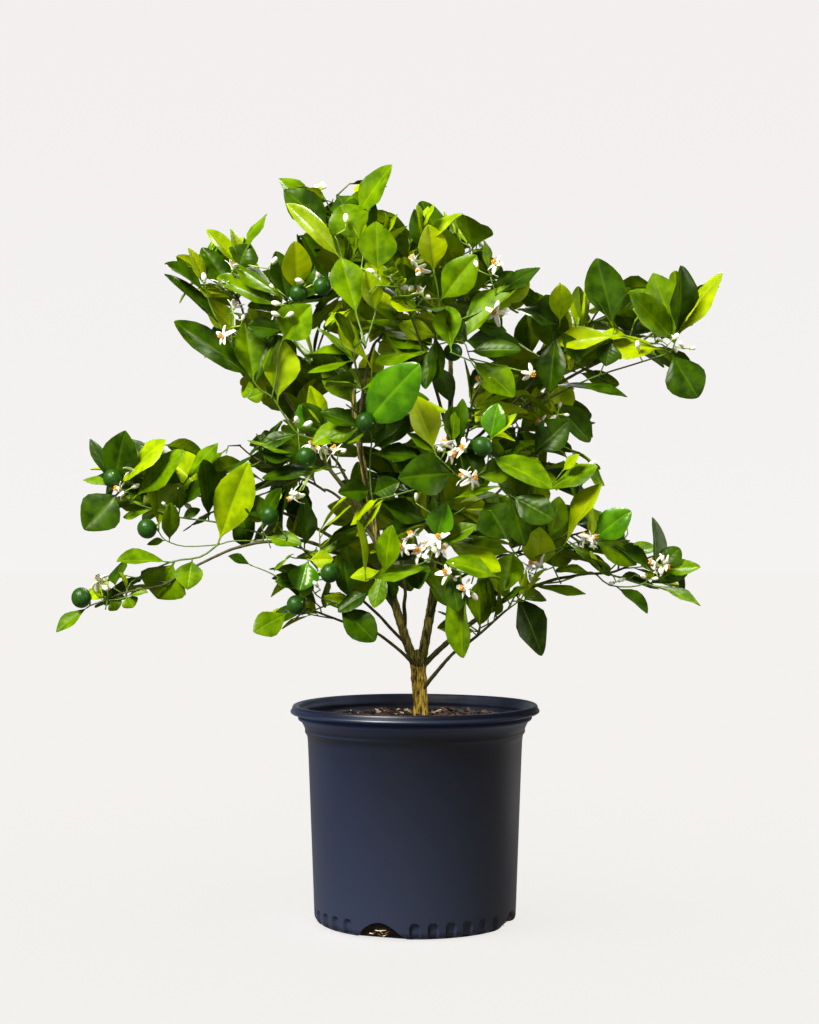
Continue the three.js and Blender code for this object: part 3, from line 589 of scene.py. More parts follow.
class Crown:
    """Leaves that are grown so far, and what they must keep clear of. in_bounds says where they may be."""

    light_share = 0.0  # how far leaves turn away from the middle of the crown

    def __init__(self, shoots, fruit, blossom):
        self.leaves, self.probes = [], []
        self.balls = [(f["centre"], f["radius"] + FRUIT_ROOM) for f in fruit]
        self.balls += [(b["centre"], BLOSSOM_RADIUS * BLOSSOM_ROOM) for b in blossom]
        self.wood = np.vstack([LIMB_STRETCHES] + [stretches(shoot["nodes"]) for shoot in shoots])

    def has_room(self, probe, start, clearance):
        """Whether a leaf that starts at a point has room."""
        points = probe["points"]
        if not self.in_bounds(points) or not clear_of_limbs(points, clearance):
            return False
        if any((lengths(points - middle) <= reach).any() for middle, reach in self.balls):
            return False
        centre, radius = probe["centre"], probe["radius"]
        near = [p for p in self.probes if math.dist(p["centre"], centre) <= p["radius"] + radius]
        if near and any_crossing(probe["edges"], np.vstack([p["faces"] for p in near])):
            return False
        if near and any_crossing(np.vstack([p["edges"] for p in near]), probe["faces"]):
            return False
        return not any_crossing(wood_near(self.wood, start, centre, radius), probe["faces"])

    def grow_leaves(
        self, shoot, turn, draw, scale=1, spacing=LEAF_SPACING, clearance=LEAF_CLEARANCE, share=1
    ):
        """Leaves along a shoot, close together at its tip, each where it finds room."""
        k = 0
        while True:
            size = scale * (YOUNG_LEAF if shoot["young"] else 1)
            first = FIRST_LEAF_BY_FRUIT if shoot.get("bears") else FIRST_LEAF
            place = place_on(shoot["nodes"], first + spacing * size * k * (0.5 + 0.12 * k))
            if place is None:
                return
            spread = math.radians(LEAF_SPREAD + SPREAD_STEP * min(k, 3))
            spread *= YOUNG_SPREAD if shoot["young"] else 1
            for attempt in range(LEAF_TRIES):
                azimuth = (k + turn) * GOLDEN_ANGLE + attempt * TRY_TURN
                tilt = spread * (0.8 + 0.4 * draw())
                leaf = leaf_at(*place, azimuth, tilt, size * (1 - LEAF_SHRINK * attempt), draw)
                if self.light_share:
                    leaf = turned_to_light(leaf, self.light_share)
                probe = leaf_probe(leaf, share)
                if self.has_room(probe, place[0], clearance):
                    self.leaves.append({**leaf, "shoot": shoot})
                    self.probes.append(probe)
                    break
            k += 1


class MassCrown(Crown):
    """The leaves of one mass, which keep to its space."""

    def __init__(self, index, shoots, fruit, blossom):
        super().__init__(shoots, fruit, blossom)
        self.index = index

    def in_bounds(self, points):
        """Whether points lie in the mass's own space."""
        mass = MASSES[self.index]
        inside = (lengths((points - mass["centre"]) / mass["reach"]) < 1).all()
        return bool(inside) and clear_of_masses(self.index, points)


print("a leaf is tried at up to", LEAF_TRIES, "angles")

# %% [markdown]
# ## The crown of the solids
#
# Each mass grows its stem, shoots, fruit, blossom and leaves with its own stream of numbers, exactly as in
# the CAD source. What comes out is the same set of leaves as in the solids. The finer growth starts from it.

# %% Grow every mass
TWIGS, LEAVES, FRUIT, BLOSSOM, PROBES = [], [], [], [], []


def grow_mass(index):
    """Everything that one mass carries."""
    draw = seeded(MASSES[index]["seed"])
    shoots = grow_shoots(index, draw)
    fruit, blossom = bear_fruit(index, shoots, draw)
    crown = MassCrown(index, shoots, fruit, blossom)
    for s, shoot in enumerate(shoots):
        shoot["index"] = index
        crown.grow_leaves(shoot, s, draw)
    TWIGS.extend(shoots)
    LEAVES.extend(crown.leaves)
    PROBES.extend(crown.probes)
    FRUIT.extend(fruit)
    BLOSSOM.extend(blossom)


for index in range(len(MASSES)):
    grow_mass(index)
print(len(TWIGS), "shoots,", len(LEAVES), "leaves,", len(FRUIT), "fruit,", len(BLOSSOM), "blossoms")

# %% [markdown]
# ## Known sprays and open sky
#
# A viewer knows a tree by a few dozen sprays at its front and by the sky between its boughs. Both are set
# out here as they show from the front, in millimetres on the plane through the pot's axis, and the helpers
# put them at their real depth. Twigs start from the nearest wood and leaves from their twigs, so nothing
# floats.

# %% From the front view to the plant
EYE_DISTANCE = CAMERA_DISTANCE / MM
EYE_HEIGHT = CAMERA_HEIGHT / MM
EYE = np.array([0, -EYE_DISTANCE, EYE_HEIGHT])


def at_depth(place, depth):
    """The point that shows at a place of the front view, at a depth behind the plane."""
    scale = 1 + depth / EYE_DISTANCE
    return np.array([place[0] * scale, depth, EYE_HEIGHT + (place[1] - EYE_HEIGHT) * scale])


def in_front_view(points):
    """Where points show in the front view."""
    scale = 1 + points[:, 1] / EYE_DISTANCE
    return np.column_stack([points[:, 0] / scale, EYE_HEIGHT + (points[:, 2] - EYE_HEIGHT) / scale])


print("the eye stands", round(EYE_DISTANCE), "mm before the pot's axis")

# %% Openings of the crown


def rows_of(text):
    """The rows of whole numbers in a text, with commas between the rows."""
    return [tuple(int(number) for number in row.split()) for row in text.split(",") if row.strip()]


# Across, up and radius of the patches of sky that show between the boughs.
OPENINGS = rows_of("""
    -245 585 51, 134 793 57, -96 879 58, 366 652 53, -287 311 50, -436 373 48, 95 306 31, -305 695 38,
    -112 297 42, 312 460 42, -198 370 33, -367 407 28, -354 307 42, -284 627 44, -397 521 33, 234 531 34,
    44 832 33, 176 745 27, -221 811 31, 175 344 26, -333 426 21, -190 564 23, -268 789 28, 254 608 18,
    217 580 20, -301 574 31, -244 348 35, -206 533 17, -17 816 16, -153 783 16, -406 483 33, 285 340 23,
    345 403 25, 273 751 23, 228 479 17, 321 374 16, 220 346 23, -171 819 20, -357 561 20, 122 549 13,
    145 719 14, 258 462 14, -193 792 16, 249 733 14, 315 747 18, 277 585 21, 252 438 12, 82 816 28,
    -290 762 20, 191 590 12, -157 770 15, 162 309 14, -322 416 15, 184 540 11, -163 563 11, -81 590 10,
    -269 359 16, 107 746 12, -155 356 10, -102 481 11, 116 305 15, -176 412 11, -268 512 8, 313 414 15,
    -102 814 9, -218 523 11, 218 588 12, -244 472 10, 209 468 8, 227 385 8, -77 831 14, -103 341 10, 61 764 8,
    -250 687 8, -240 387 11, -179 497 8, -147 423 8, -92 489 8""")
print(len(OPENINGS), "openings")

# %% Known sprays
KIND_NAMES = ("old", "full", "fresh", "glossy", "new")

# For each part of the crown: how far behind the plane its sprays lie, the places along their twigs, the
# leaves of each kind as foot, way to the tip and width, the fruit, and the blossom with its flowers and buds.
SPRAY_TABLE = """
left_mid
depth: -45
twigs: -173 434, -200 441, -229 448, -268 453, -299 463, -324 472, -341 487; -268 453, -264 472, -262 490;
-173 426, -207 426, -223 422, -260 420, -282 427, -290 437
old: -345 490 -23 52 15, -341 488 13 63 41, -334 482 -40 -43 47, -304 467 -18 21 16, -259 490 -35 17 17,
-232 477 -8 41 23, -268 467 33 26 16, -266 451 23 11 11
full: -313 488 52 40 27, -351 488 -25 7 9, -264 489 41 48 16, -266 459 0 28 18, -297 458 -33 -5 9,
-277 427 0 42 20, -282 427 -21 -5 8
fresh: -334 502 52 38 21, -289 438 -3 71 33, -223 422 35 94 45
fruit: -342 497, -303 440
blossom: -318 501 1 1, -327 483 1 2, -279 463 0 1

left_low
depth: -62
twigs: -223 422, -243 408, -277 402, -320 380, -328 362, -350 359, -367 353
old: -342 362 -11 15 11
full: -270 402 -21 -41 54, -252 405 -5 -34 32, -275 403 -62 0 16, -325 363 7 -12 20, -342 363 6 -15 18,
-324 363 22 5 8, -370 350 -35 -27 14
fresh: -331 373 -3 18 5, -353 359 -13 16 8
fruit: -377 362
blossom: -356 377 1 1, -347 380 0 1

left_inner
depth: -60
twigs: -96 405, -130 418, -168 431, -173 450; -168 431, -158 405, -149 382, -141 362; -149 382, -166 391,
-184 398; -79 506, -96 511, -110 509, -130 523; -130 523, -132 547; -102 551, -119 545, -132 540
old: -171 448 -15 30 25, -162 463 11 23 16, -122 424 -5 57 20, -107 506 -66 -9 16, -145 506 -28 21 27,
-132 548 -44 -15 16, -130 523 -23 9 14, -184 398 -27 11 10
full: -166 434 38 -12 18, -90 509 -100 -30 9, -173 521 -17 19 7
glossy: -105 539 -26 41 34
fruit: -164 455, -123 521
blossom: -119 532 1 0, -102 527 1 0, -87 523 1 1, -134 478 1 1, -127 484 0 1

left_foot
depth: -75
twigs: -73 346, -90 356, -125 344, -141 346; -90 356, -107 362, -116 373, -121 405; -73 359, -49 371,
-35 393
old: -89 353 44 -40 34, -139 373 -19 7 16, 17 373 -42 -16 14, -49 371 -38 -25 18
full: -141 346 -41 -23 29, -112 388 -16 -26 18, -19 384 -27 -33 20
fresh: -123 424 31 -19 20, -79 368 -24 -4 9, -35 396 -38 -11 14
glossy: -122 422 -8 -52 34
fruit: -134 354, -96 390
blossom: -107 371 0 1

left_upper
depth: -50
twigs: -96 540, -130 546, -146 565, -162 589, -177 599, -192 622, -207 648, -223 674, -234 698, -237 715;
-162 589, -157 614, -156 636, -147 664, -144 693; -207 648, -209 678, -207 715, -198 741; -144 693,
-130 710
old: -184 608 -89 67 31, -171 612 14 47 19, -225 674 -60 55 14, -238 707 -46 34 14, -216 710 -26 49 29,
-191 727 1 36 36, -166 712 8 43 29, -142 735 8 40 9, -105 696 -10 45 20, -125 662 -66 8 23,
-82 602 -45 -20 23, -128 585 -21 -13 9
full: -173 612 -21 62 34, -168 596 -22 -8 17, -179 764 11 34 9, -139 692 -68 49 19, -145 687 -80 38 25,
-130 683 -60 10 17, -80 626 -38 68 43
fresh: -148 585 -3 69 41, -235 712 -23 47 14, -205 741 -32 39 18, -195 753 -15 28 11, -73 615 -46 -13 21
new: -125 698 -12 68 32
fruit: -132 707, -105 715
blossom: -238 715 0 1, -220 710 1 0, -208 730 1 0, -167 735 0 1, -147 729 0 1, -157 712 0 1, -123 718 0 1,
-144 693 0 1, -148 679 0 2, -207 685 1 1, -211 657 1 0, -198 670 0 1

top_left
depth: -55
twigs: -56 648, -71 698, -82 741, -88 766, -97 782; -71 698, -60 741, -60 766, -67 796; -56 648, -42 698,
-42 735, -35 766
old: -98 782 -51 43 38
full: -60 764 -25 43 47, -69 800 43 54 27, -42 730 -2 59 43, -84 674 0 73 38
fresh: -94 741 -52 68 23, -60 766 -8 32 18, -31 784 -2 14 6, -23 784 3 13 6, 10 671 -66 62 23,
3 735 -45 31 10
blossom: -60 735 0 2, -79 780 0 1

top_right
depth: -70
twigs: 25 608, 24 648, 28 681, 24 721, 12 755, 2 783; 28 681, 54 678, 90 698, 85 727; 24 648, 53 653,
62 633
old: -15 741 14 62 25, 96 707 46 29 16, 94 716 18 16 14, 53 655 66 -7 34, 54 640 66 2 20, 54 668 50 -4 18,
24 624 18 -41 24
full: 26 698 44 52 38, 54 678 56 25 38, 71 741 7 27 9, 85 723 10 26 11, 62 633 50 -44 32,
15 653 -69 23 20, -54 615 20 47 27, 19 642 -65 -16 16, -52 613 42 43 22, 62 664 56 52 24, 24 640 -60 22 20
fresh: 10 766 -8 42 8, 17 777 -2 29 12, 21 783 0 25 6, 51 771 4 27 11, 105 674 25 46 27, 17 658 -36 13 23
new: 46 735 -31 50 32
fruit: 43 640
blossom: 2 741 2 1, 11 701 1 1, 21 681 0 1, 32 667 0 1, 43 663 0 2, 92 684 1 1, 94 735 1 0, 72 733 0 1,
127 617 1 0

right_upper
depth: -30
twigs: 96 557, 147 585, 181 602, 209 614, 254 628, 288 640, 295 653; 209 614, 220 642, 226 667; 147 585,
156 619, 155 653, 164 670; 288 640, 266 648, 237 659; 96 557, 132 523
old: 225 667 -19 80 45, 296 676 5 62 26, 290 637 30 -49 46, 177 664 -30 41 29, 155 674 -40 15 14,
148 674 5 -80 32, 214 655 2 -31 27, 181 653 5 -25 18, 158 603 82 -14 10, 155 581 43 -43 29,
136 520 39 43 38
fresh: 290 651 -43 38 14, 254 674 -42 -12 11, 297 651 5 34 9, 173 670 -8 48 27, 198 685 -6 28 9
new: 304 653 44 77 25, 234 661 -78 -11 23, 279 648 -67 -4 27
full: 289 659 -19 71 46, 295 651 -52 55 31
blossom: 286 648 0 2, 304 644 0 2, 254 636 0 1

right_mid
depth: -50
twigs: 96 359, 130 376, 164 380, 198 391, 220 376, 254 376, 271 391; 164 380, 155 405, 175 422, 200 427;
136 472, 150 484, 166 504; 96 359, 99 368; 130 376, 137 393
old: 266 414 -43 8 14, 266 405 2 48 16, 271 398 28 20 25, 226 375 36 -31 14, 114 366 29 -69 33
full: 150 475 56 35 20, 200 414 50 -15 25, 290 391 32 6 18, 260 375 62 -22 9, 209 405 -51 -13 11,
130 376 63 -10 10
fresh: 166 504 20 20 11, 209 438 -9 29 9, 137 391 4 51 38
new: 166 416 46 74 20
glossy: 202 429 42 31 34
blossom: 195 427 2 1, 277 399 2 1, 263 382 0 2, 128 391 1 1, 147 393 1 0

centre
depth: -135
twigs: 17 405, -40 450, -51 506, -49 546, -60 554; 17 405, 24 422, 21 438; 17 405, 34 450, 53 495, 51 523,
40 540; 53 495, 79 506, 85 540; 34 450, 73 472, 107 478; 17 405, -23 388, -56 382; 53 495, 24 523; 17 405,
62 388, 96 384
old: -55 481 -32 0 23, -58 475 41 18 25, -55 470 66 -20 23, -62 527 65 -5 18, -71 574 -36 -2 18,
73 484 31 -55 45, 121 472 36 -22 34, 34 373 15 -27 25, -26 540 -23 45 29, -60 531 57 34 26,
107 478 17 -58 30, 49 502 -68 -5 45, 60 538 -6 49 16, 40 538 2 41 18
full: -33 382 7 62 25, -55 387 65 9 18, -64 554 -35 -12 16, 35 418 36 26 18, 62 502 50 7 27,
119 515 36 -29 27, 96 388 -61 14 20, 28 328 26 -34 27, 40 533 5 39 18, 20 526 -30 23 10
fresh: -80 405 14 45 9, 96 542 19 28 11
new: 21 529 -24 63 32
glossy: -64 551 69 75 52, 19 427 17 43 29, 80 542 14 40 27
fruit: -56 561, 76 533
blossom: -11 418 1 1, -2 427 1 0, 6 409 1 1, 21 414 2 0, 28 422 1 1, 34 527 2 1, 58 527 1 0, 59 495 2 0,
1 469 0 1, 40 388 1 1, 62 371 1 1

top_core
depth: -70
twigs: 24 640, 22 652, 24 664
old: 22 652 -10 -54 20, 24 662 3 -52 20
"""


def read_sprays(text):
    """The groups of a table. A line with a colon starts one kind of rows, and further lines go on with it."""
    groups = {}
    for block in text.strip().split("\n\n"):
        name, *lines = block.splitlines()
        rows = groups[name] = {}
        for line in lines:
            if ":" in line:
                key, line = line.split(":")
            rows[key] = rows.get(key, "") + line + " "
    return groups


SEEN_SPRAYS = read_sprays(SPRAY_TABLE)
print(len(SEEN_SPRAYS), "groups of sprays")

# %% One twig and one leaf of a spray
WOOD_STEP = 3.0
DEPTH_COST = 0.25  # what a step in depth costs beside a step across, when a twig looks for wood
SEEN_WIDTH = (0.45, 0.56)  # how wide a known leaf is, as a share of its length
SEEN_SLANT = (-0.45, 0.25)  # how far its tip lies behind its foot
SEEN_CURL = (0.02, 0.14)
MOST_OPEN = 0.97  # a known leaf faces the eye no more squarely than this cosine


def wood_points(nodes):
    """Points close together along a row of nodes."""
    parts = max(1, int(length_of(nodes) / (len(nodes) - 1) / WOOD_STEP))
    return smooth_row(nodes, parts)


def grow_seen_twig(path, depth, wood):
    """A twig along a path of the front view, from the nearest wood."""
    start = at_depth(path[0], depth)
    costs = lengths(in_front_view(wood) - path[0]) + DEPTH_COST * abs(wood[:, 1] - start[1])
    root = wood[costs.argmin()]
    depths = np.linspace(root[1], depth, len(path) + 1)[1:]
    nodes = np.array([root] + [at_depth(place, d) for place, d in zip(path, depths)])
    kept = [nodes[0]] + [b for a, b in zip(nodes[:-1], nodes[1:]) if np.linalg.norm(b - a) > 1]
    return np.array(kept)


def nearest_shown(wood, place):
    """The point of some wood that shows nearest to a place of the front view."""
    return wood[lengths(in_front_view(wood) - place).argmin()]


def seen_leaf(row, wood, draw):
    """A leaf that shows from the front as a row of the table says, with its foot on the nearest twig."""
    foot_x, foot_z, across, up, seen_width = row
    tip_x, tip_z = foot_x + across, foot_z + up
    start = nearest_shown(wood, (foot_x, foot_z))
    seen_length = math.dist(in_front_view(start[None])[0], (tip_x, tip_z))
    tip = at_depth((tip_x, tip_z), start[1] + seen_length * between(draw, *SEEN_SLANT))
    length = float(np.linalg.norm(tip - start))
    curl, width = between(draw, *SEEN_CURL), max(length * between(draw, *SEEN_WIDTH), seen_width)
    along = unit(tip - start)
    flat = squared(unit(EYE - start), along)
    edge = np.cross(along, flat)
    turn = math.acos(min(MOST_OPEN, seen_width / width)) * (1 if edge[2] > -0.2 * draw() else -1)
    face = tilted(flat, edge, turn)
    along = unit(tip + curl * length * face - start)
    return {**leaf_frame(start, along, squared(face, along)), "length": length, "width": width, "curl": curl}


print("a known leaf is", SEEN_WIDTH, "as wide as long")

# %% Grow the known sprays
SEEN_SEED = 2100
FRUIT_BEFORE = 0.8  # how far a known fruit hangs before its twig, as a share of its radius
FRUIT_SIZES = (0.92, 1.05)
BACK = 10  # fruit and blossom of the masses stay from this far back, where the table has none


def grow_seen(group, draw):
    """The twigs, leaves, fruit and blossom of one part of the crown."""
    wood = np.vstack([LIMB_BALLS[:, :3]] + [wood_points(twig["nodes"]) for twig in TWIGS])
    own, depth = [], int(group["depth"])
    for number, path in enumerate(group["twigs"].split(";")):
        nodes = grow_seen_twig(rows_of(path), depth, np.vstack([wood] + own))
        TWIGS.append({"nodes": nodes, "young": False, "rank": 2 if number else 1})
        own.append(wood_points(nodes))
    own = np.vstack(own)
    for kind in (key for key in group if key in KIND_NAMES):
        spray = {"young": False, "kind": kind}
        for row in rows_of(group[kind]):
            leaf = seen_leaf(row, own, draw)
            LEAVES.append({**leaf, "shoot": spray})
            PROBES.append(leaf_probe(leaf))
    for place in rows_of(group.get("fruit", "")):
        foot = nearest_shown(own, place)
        centre = at_depth(place, foot[1] - FRUIT_RADIUS * FRUIT_BEFORE)
        radius = FRUIT_RADIUS * between(draw, *FRUIT_SIZES)
        FRUIT.append({"centre": centre, "radius": radius, "foot": foot})
    for x, z, flowers, buds in rows_of(group.get("blossom", "")):
        foot = nearest_shown(own, (x, z))
        centre = at_depth((x, z), foot[1] - BLOSSOM_RADIUS)
        BLOSSOM.append({"foot": foot, "centre": centre, "flowers": flowers, "buds": buds})


FRUIT[:] = [fruit for fruit in FRUIT if fruit["centre"][1] > BACK]
BLOSSOM[:] = [blossom for blossom in BLOSSOM if blossom["centre"][1] > BACK]
mass_leaves, mass_probes = list(LEAVES), list(PROBES)
LEAVES.clear()
PROBES.clear()
seen_draw = seeded(SEEN_SEED)
for group in SEEN_SPRAYS.values():
    grow_seen(group, seen_draw)
print(len(LEAVES), "leaves of the known sprays")

# %% [markdown]
# ## What the crown leaves free
#
# A leaf of the masses or of the finer twigs is dropped where it would close an opening or hide a known leaf
# or fruit from the front. Both tests work in the front view, on a few points of each leaf, because comparing
# outlines would cost far more and drop the same leaves.

# %% Keep the openings and the known sprays free
OPENING_PLACES = np.array([opening[:2] for opening in OPENINGS], float)
OPENING_RADII = np.array([opening[2] for opening in OPENINGS], float) * 0.95
FRUIT_VEIL = 4.0  # how far off a known fruit's middle its points lie
FRUIT_SPOTS = [FRUIT_VEIL * np.array([math.cos(angle), 0, math.sin(angle)]) for angle in range(6)]
SEEN_SAMPLES = np.vstack([
    leaf_points(leaf, u, v * leaf["width"] / 2, 0)[None]
    for leaf in LEAVES for u in (0.25, 0.45, 0.65, 0.85, 1.0) for v in (-0.6, 0, 0.6)
] + [fruit["centre"] + spot for fruit in FRUIT if fruit["centre"][1] < 0 for spot in FRUIT_SPOTS])
SEEN_PLACES = in_front_view(SEEN_SAMPLES)
VEIL = 8.0  # how near to a known leaf, as seen from the front, another leaf may not pass before it


def is_open(points):
    """Whether a leaf at these points would close an opening."""
    places = in_front_view(points)
    gaps = lengths(places[:, None] - OPENING_PLACES)
    return bool((gaps < OPENING_RADII).any())


def veils(points):
    """Whether a leaf at these points would hide a known one from the front."""
    near = lengths(in_front_view(points)[:, None] - SEEN_PLACES) < VEIL
    before = points[:, 1][:, None] < SEEN_SAMPLES[:, 1]
    return bool((near & before).any())


for leaf, probe in zip(mass_leaves, mass_probes):
    if not is_open(probe["points"]) and not veils(probe["points"]):
        LEAVES.append(leaf)
        PROBES.append(probe)
print(len(LEAVES), "leaves so far, of the masses and the known sprays")

# %% [markdown]
# ## Finer twigs
#
# The solids leave out most of the small twigs, because their leaves would be too many faces. Here they grow
# from every shoot and from the bare stretches of the limbs, in the same spaces, so the crown gets its real
# number of leaves and keeps its outline. Their leaves may touch a neighbour's rim, as real ones do.

# %% Grow the finer twigs and their leaves
FINE_STRETCH = 20
FINE_REACH = 0.92
FINE_ANGLE = math.radians(48)
FINE_STEP = 17  # along a shoot, between two finer twigs
LIMB_STEP = 30  # and along a limb
LIMB_ANGLE = math.radians(62)
LIMB_BARE = 400  # the height up to which limbs are bare
FINE_LEAF = 0.9
FINE_SPACING = 14
FINE_CLEARANCE = 1.5
FINE_SHARE = 0.75  # the middle share of a leaf that keeps clear of the others
FINE_LIMIT = 1.2  # how far out of two masses at once a leaf of a finer twig may reach
FINE_SEED = 5000
FINE_BLOSSOM = 0.1  # share of the finer twigs that end in blossom
YOUNG_TWIGS = 0.12


class FineCrown(Crown):
    """The leaves of the finer twigs, which may grow between the masses but leave the openings free."""

    light_share = 0.8

    def __init__(self, twigs):
        super().__init__(twigs, FRUIT, BLOSSOM)
        self.probes = list(PROBES)

    def in_bounds(self, points):
        """Whether points lie in a mass or between two, and hide nothing that has to show."""
        depth = np.sort(depths_at(points), axis=1)
        inside = (depth[:, 0] < 1) | (depth[:, 0] < FINE_LIMIT) & (depth[:, 1] < FINE_LIMIT)
        return bool(inside.all()) and not is_open(points) and not veils(points)


def fine_twig(index, start, heading, angle, turn, young, draw):
    """One finer twig, or nothing where there is no room."""
    direction = tilted(heading, square_to(heading, turn), angle)
    joints = 1 + int(draw() < 0.5)
    nodes = grow_shoot(index, start, direction, joints, draw, FINE_STRETCH, FINE_REACH)
    return [{"nodes": nodes, "young": young or draw() < YOUNG_TWIGS, "rank": 2}] if len(nodes) > 1 else []


def twigs_on_shoot(shoot, number):
    """Finer twigs along a shoot."""
    draw = seeded(FINE_SEED + number)
    length, twigs = length_of(shoot["nodes"]), []
    for i in range(int(length / FINE_STEP)):
        place = place_on(shoot["nodes"], length - (i + 0.6) * FINE_STEP)
        if place is not None:
            angle = FINE_ANGLE * between(draw, 0.8, 1.3)
            turn = (i + 2 * number) * GOLDEN_ANGLE + 1
            twigs += fine_twig(shoot["index"], *place, angle, turn, shoot["young"], draw)
    return twigs


def twigs_on_limb(limb, number):
    """Finer twigs along a limb, wherever it runs through the crown."""
    draw = seeded(2 * FINE_SEED + number)
    row, twigs = limb_row(limb, int(limb["length"] / LIMB_STEP) + 1), []
    for i in range(1, len(row) - 1):
        heading = unit(row[i + 1] - row[i - 1])
        depth = depths_at(row[i])
        angle = LIMB_ANGLE * between(draw, 0.8, 1.2)
        if row[i][2] > LIMB_BARE and depth.min() < FINE_LIMIT:
            turn = i * GOLDEN_ANGLE + number
            twigs += fine_twig(int(depth.argmin()), row[i], heading, angle, turn, False, draw)
    return twigs


shoots = [twig for twig in TWIGS if "index" in twig]
fine_twigs = [twig for number, shoot in enumerate(shoots) for twig in twigs_on_shoot(shoot, number)]
fine_twigs += [twig for number, limb in enumerate(LIMBS.values()) for twig in twigs_on_limb(limb, number)]
fine_crown = FineCrown(TWIGS + fine_twigs)
fine_draw = seeded(FINE_SEED)
for number, twig in enumerate(fine_twigs):
    fine_crown.grow_leaves(twig, number, fine_draw, FINE_LEAF, FINE_SPACING, FINE_CLEARANCE, FINE_SHARE)
TWIGS += fine_twigs
LEAVES += fine_crown.leaves
print(len(TWIGS), "twigs and", len(LEAVES), "leaves in all")

# %% [markdown]
# ## Pruning
#
# Where leaves found no room, bare twigs would stick out and fill the openings with lines. Each twig is cut
# back to the last thing that it bears, the finest first, so that a shoot still reaches the twigs on it.

# %% Prune what bears nothing
FOOT_ROOM = 2.0  # a leaf that starts this near to a twig grows on it
FOOT_SEARCH = 4.0
ROW_STEPS = 8  # how many parts a stretch is tested in
LEAST_ROWS = 4


def pruned(nodes, feet):
    """A twig as far as it bears something, or nothing where it bears nothing."""
    low, high = nodes.min(axis=0) - FOOT_SEARCH, nodes.max(axis=0) + FOOT_SEARCH
    feet = feet[((feet > low) & (feet < high)).all(axis=1)]
    curved = smooth_row(nodes, ROW_STEPS)
    straight = [np.linspace(a, b, ROW_STEPS, endpoint=False) for a, b in zip(nodes[:-1], nodes[1:])]
    straight = np.vstack(straight + [nodes[-1:]])
    gaps = [lengths(rows[:, None] - feet) for rows in (curved, straight)]
    bears = np.flatnonzero((np.minimum(*gaps) < FOOT_ROOM).any(axis=1))
    if not len(bears):
        return None
    last = max(bears[-1], LEAST_ROWS)
    if last > len(curved) - LEAST_ROWS:
        return nodes
    return np.vstack([nodes[: int(last / ROW_STEPS) + 1], curved[last : last + 1]])


feet = [leaf["start"] for leaf in LEAVES] + [fruit["foot"] for fruit in FRUIT] + [b["foot"] for b in BLOSSOM]
whole_count = len(TWIGS)
for rank in (2, 1, 0):
    for twig in [twig for twig in TWIGS if twig["rank"] == rank]:
        nodes = pruned(twig["nodes"], np.array(feet))
        twig["bare"] = nodes is None
        if nodes is not None:
            twig["nodes"] = nodes
            feet.append(nodes[0])
TWIGS = [twig for twig in TWIGS if not twig.get("bare")]
print("pruned", whole_count - len(TWIGS), "twigs")

# %% [markdown]
# ## Shader building blocks
#
# Nearly every surface of a plant is mottled: two close tones that meet in soft patches. That is one node
# group, placed in each material with its own tones and scale. The veins of a leaf are a second group, drawn
# from the leaf's own coordinates. A picture of a leaf would repeat, and a noise would have no direction.

# %% Helpers for node trees
WHITE = (1.0, 1.0, 1.0, 1.0)


def linear(code):
    """A linear colour from a six-digit web colour."""
    parts = [int(code[i : i + 2], 16) / 255 for i in (0, 2, 4)]
    return tuple(c / 12.92 if c <= 0.04045 else ((c + 0.055) / 1.055) ** 2.4 for c in parts) + (1.0,)


def add_node(tree, kind, inputs=None, **settings):
    """A new node with its settings. An input is a value, or another node's output to link."""
    made = tree.nodes.new(kind)
    for name, value in settings.items():
        setattr(made, name, value)
    for key, value in (inputs or {}).items():
        if isinstance(value, bpy.types.NodeSocket):
            tree.links.new(value, made.inputs[key])
        else:
            made.inputs[key].default_value = value
    return made


def maths(tree, operation, *values):
    """The output of a Math node."""
    return add_node(tree, "ShaderNodeMath", dict(enumerate(values)), operation=operation).outputs[0]


def blend_colours(tree, factor, first, second):
    """The output of a Mix node for colours."""
    mixed = add_node(tree, "ShaderNodeMix", {0: factor, 6: first, 7: second}, data_type="RGBA")
    return mixed.outputs[2]


def map_range(tree, value, low, high, first, last):
    """A value from low to high as one from first to last."""
    return add_node(tree, "ShaderNodeMapRange", {0: value, 1: low, 2: high, 3: first, 4: last}).outputs[0]


def place_parts(tree, kind):
    """X, Y and Z of a place, in one kind of texture coordinates."""
    place = add_node(tree, "ShaderNodeTexCoord").outputs[kind]
    return add_node(tree, "ShaderNodeSeparateXYZ", {0: place}).outputs


def swell(tree, strength, distance, height):
    """Makes a material's surface rise and fall by a height."""
    relief = add_node(tree, "ShaderNodeBump", {"Strength": strength, "Distance": distance, "Height": height})
    tree.links.new(relief.outputs[0], tree.nodes["Principled BSDF"].inputs["Normal"])


def new_group(name, inputs, outputs):
    """A shader node group with named sockets, and its two end nodes."""
    group = bpy.data.node_groups.new(name, "ShaderNodeTree")
    for label, kind, value in inputs:
        group.interface.new_socket(name=label, in_out="INPUT", socket_type=kind).default_value = value
    for label, kind in outputs:
        group.interface.new_socket(name=label, in_out="OUTPUT", socket_type=kind)
    return group, group.nodes.new("NodeGroupInput"), group.nodes.new("NodeGroupOutput")


def new_material(name, values):
    """A material with values on its shader's sockets."""
    material = bpy.data.materials.new(name)
    material.use_nodes = True
    shader = material.node_tree.nodes["Principled BSDF"]
    for socket, value in values.items():
        shader.inputs[socket.replace("_", " ")].default_value = value
    return material, material.node_tree, shader


def lay_over(tree, share, tone):
    """Lays a tone over a material's colour, as far as a share says."""
    colour = tree.nodes["Principled BSDF"].inputs["Base Color"]
    tree.links.new(blend_colours(tree, share, colour.links[0].from_socket, linear(tone)), colour)


print("a middle grey is", round(linear("808080")[0], 3), "in linear light")

# %% The mottling group


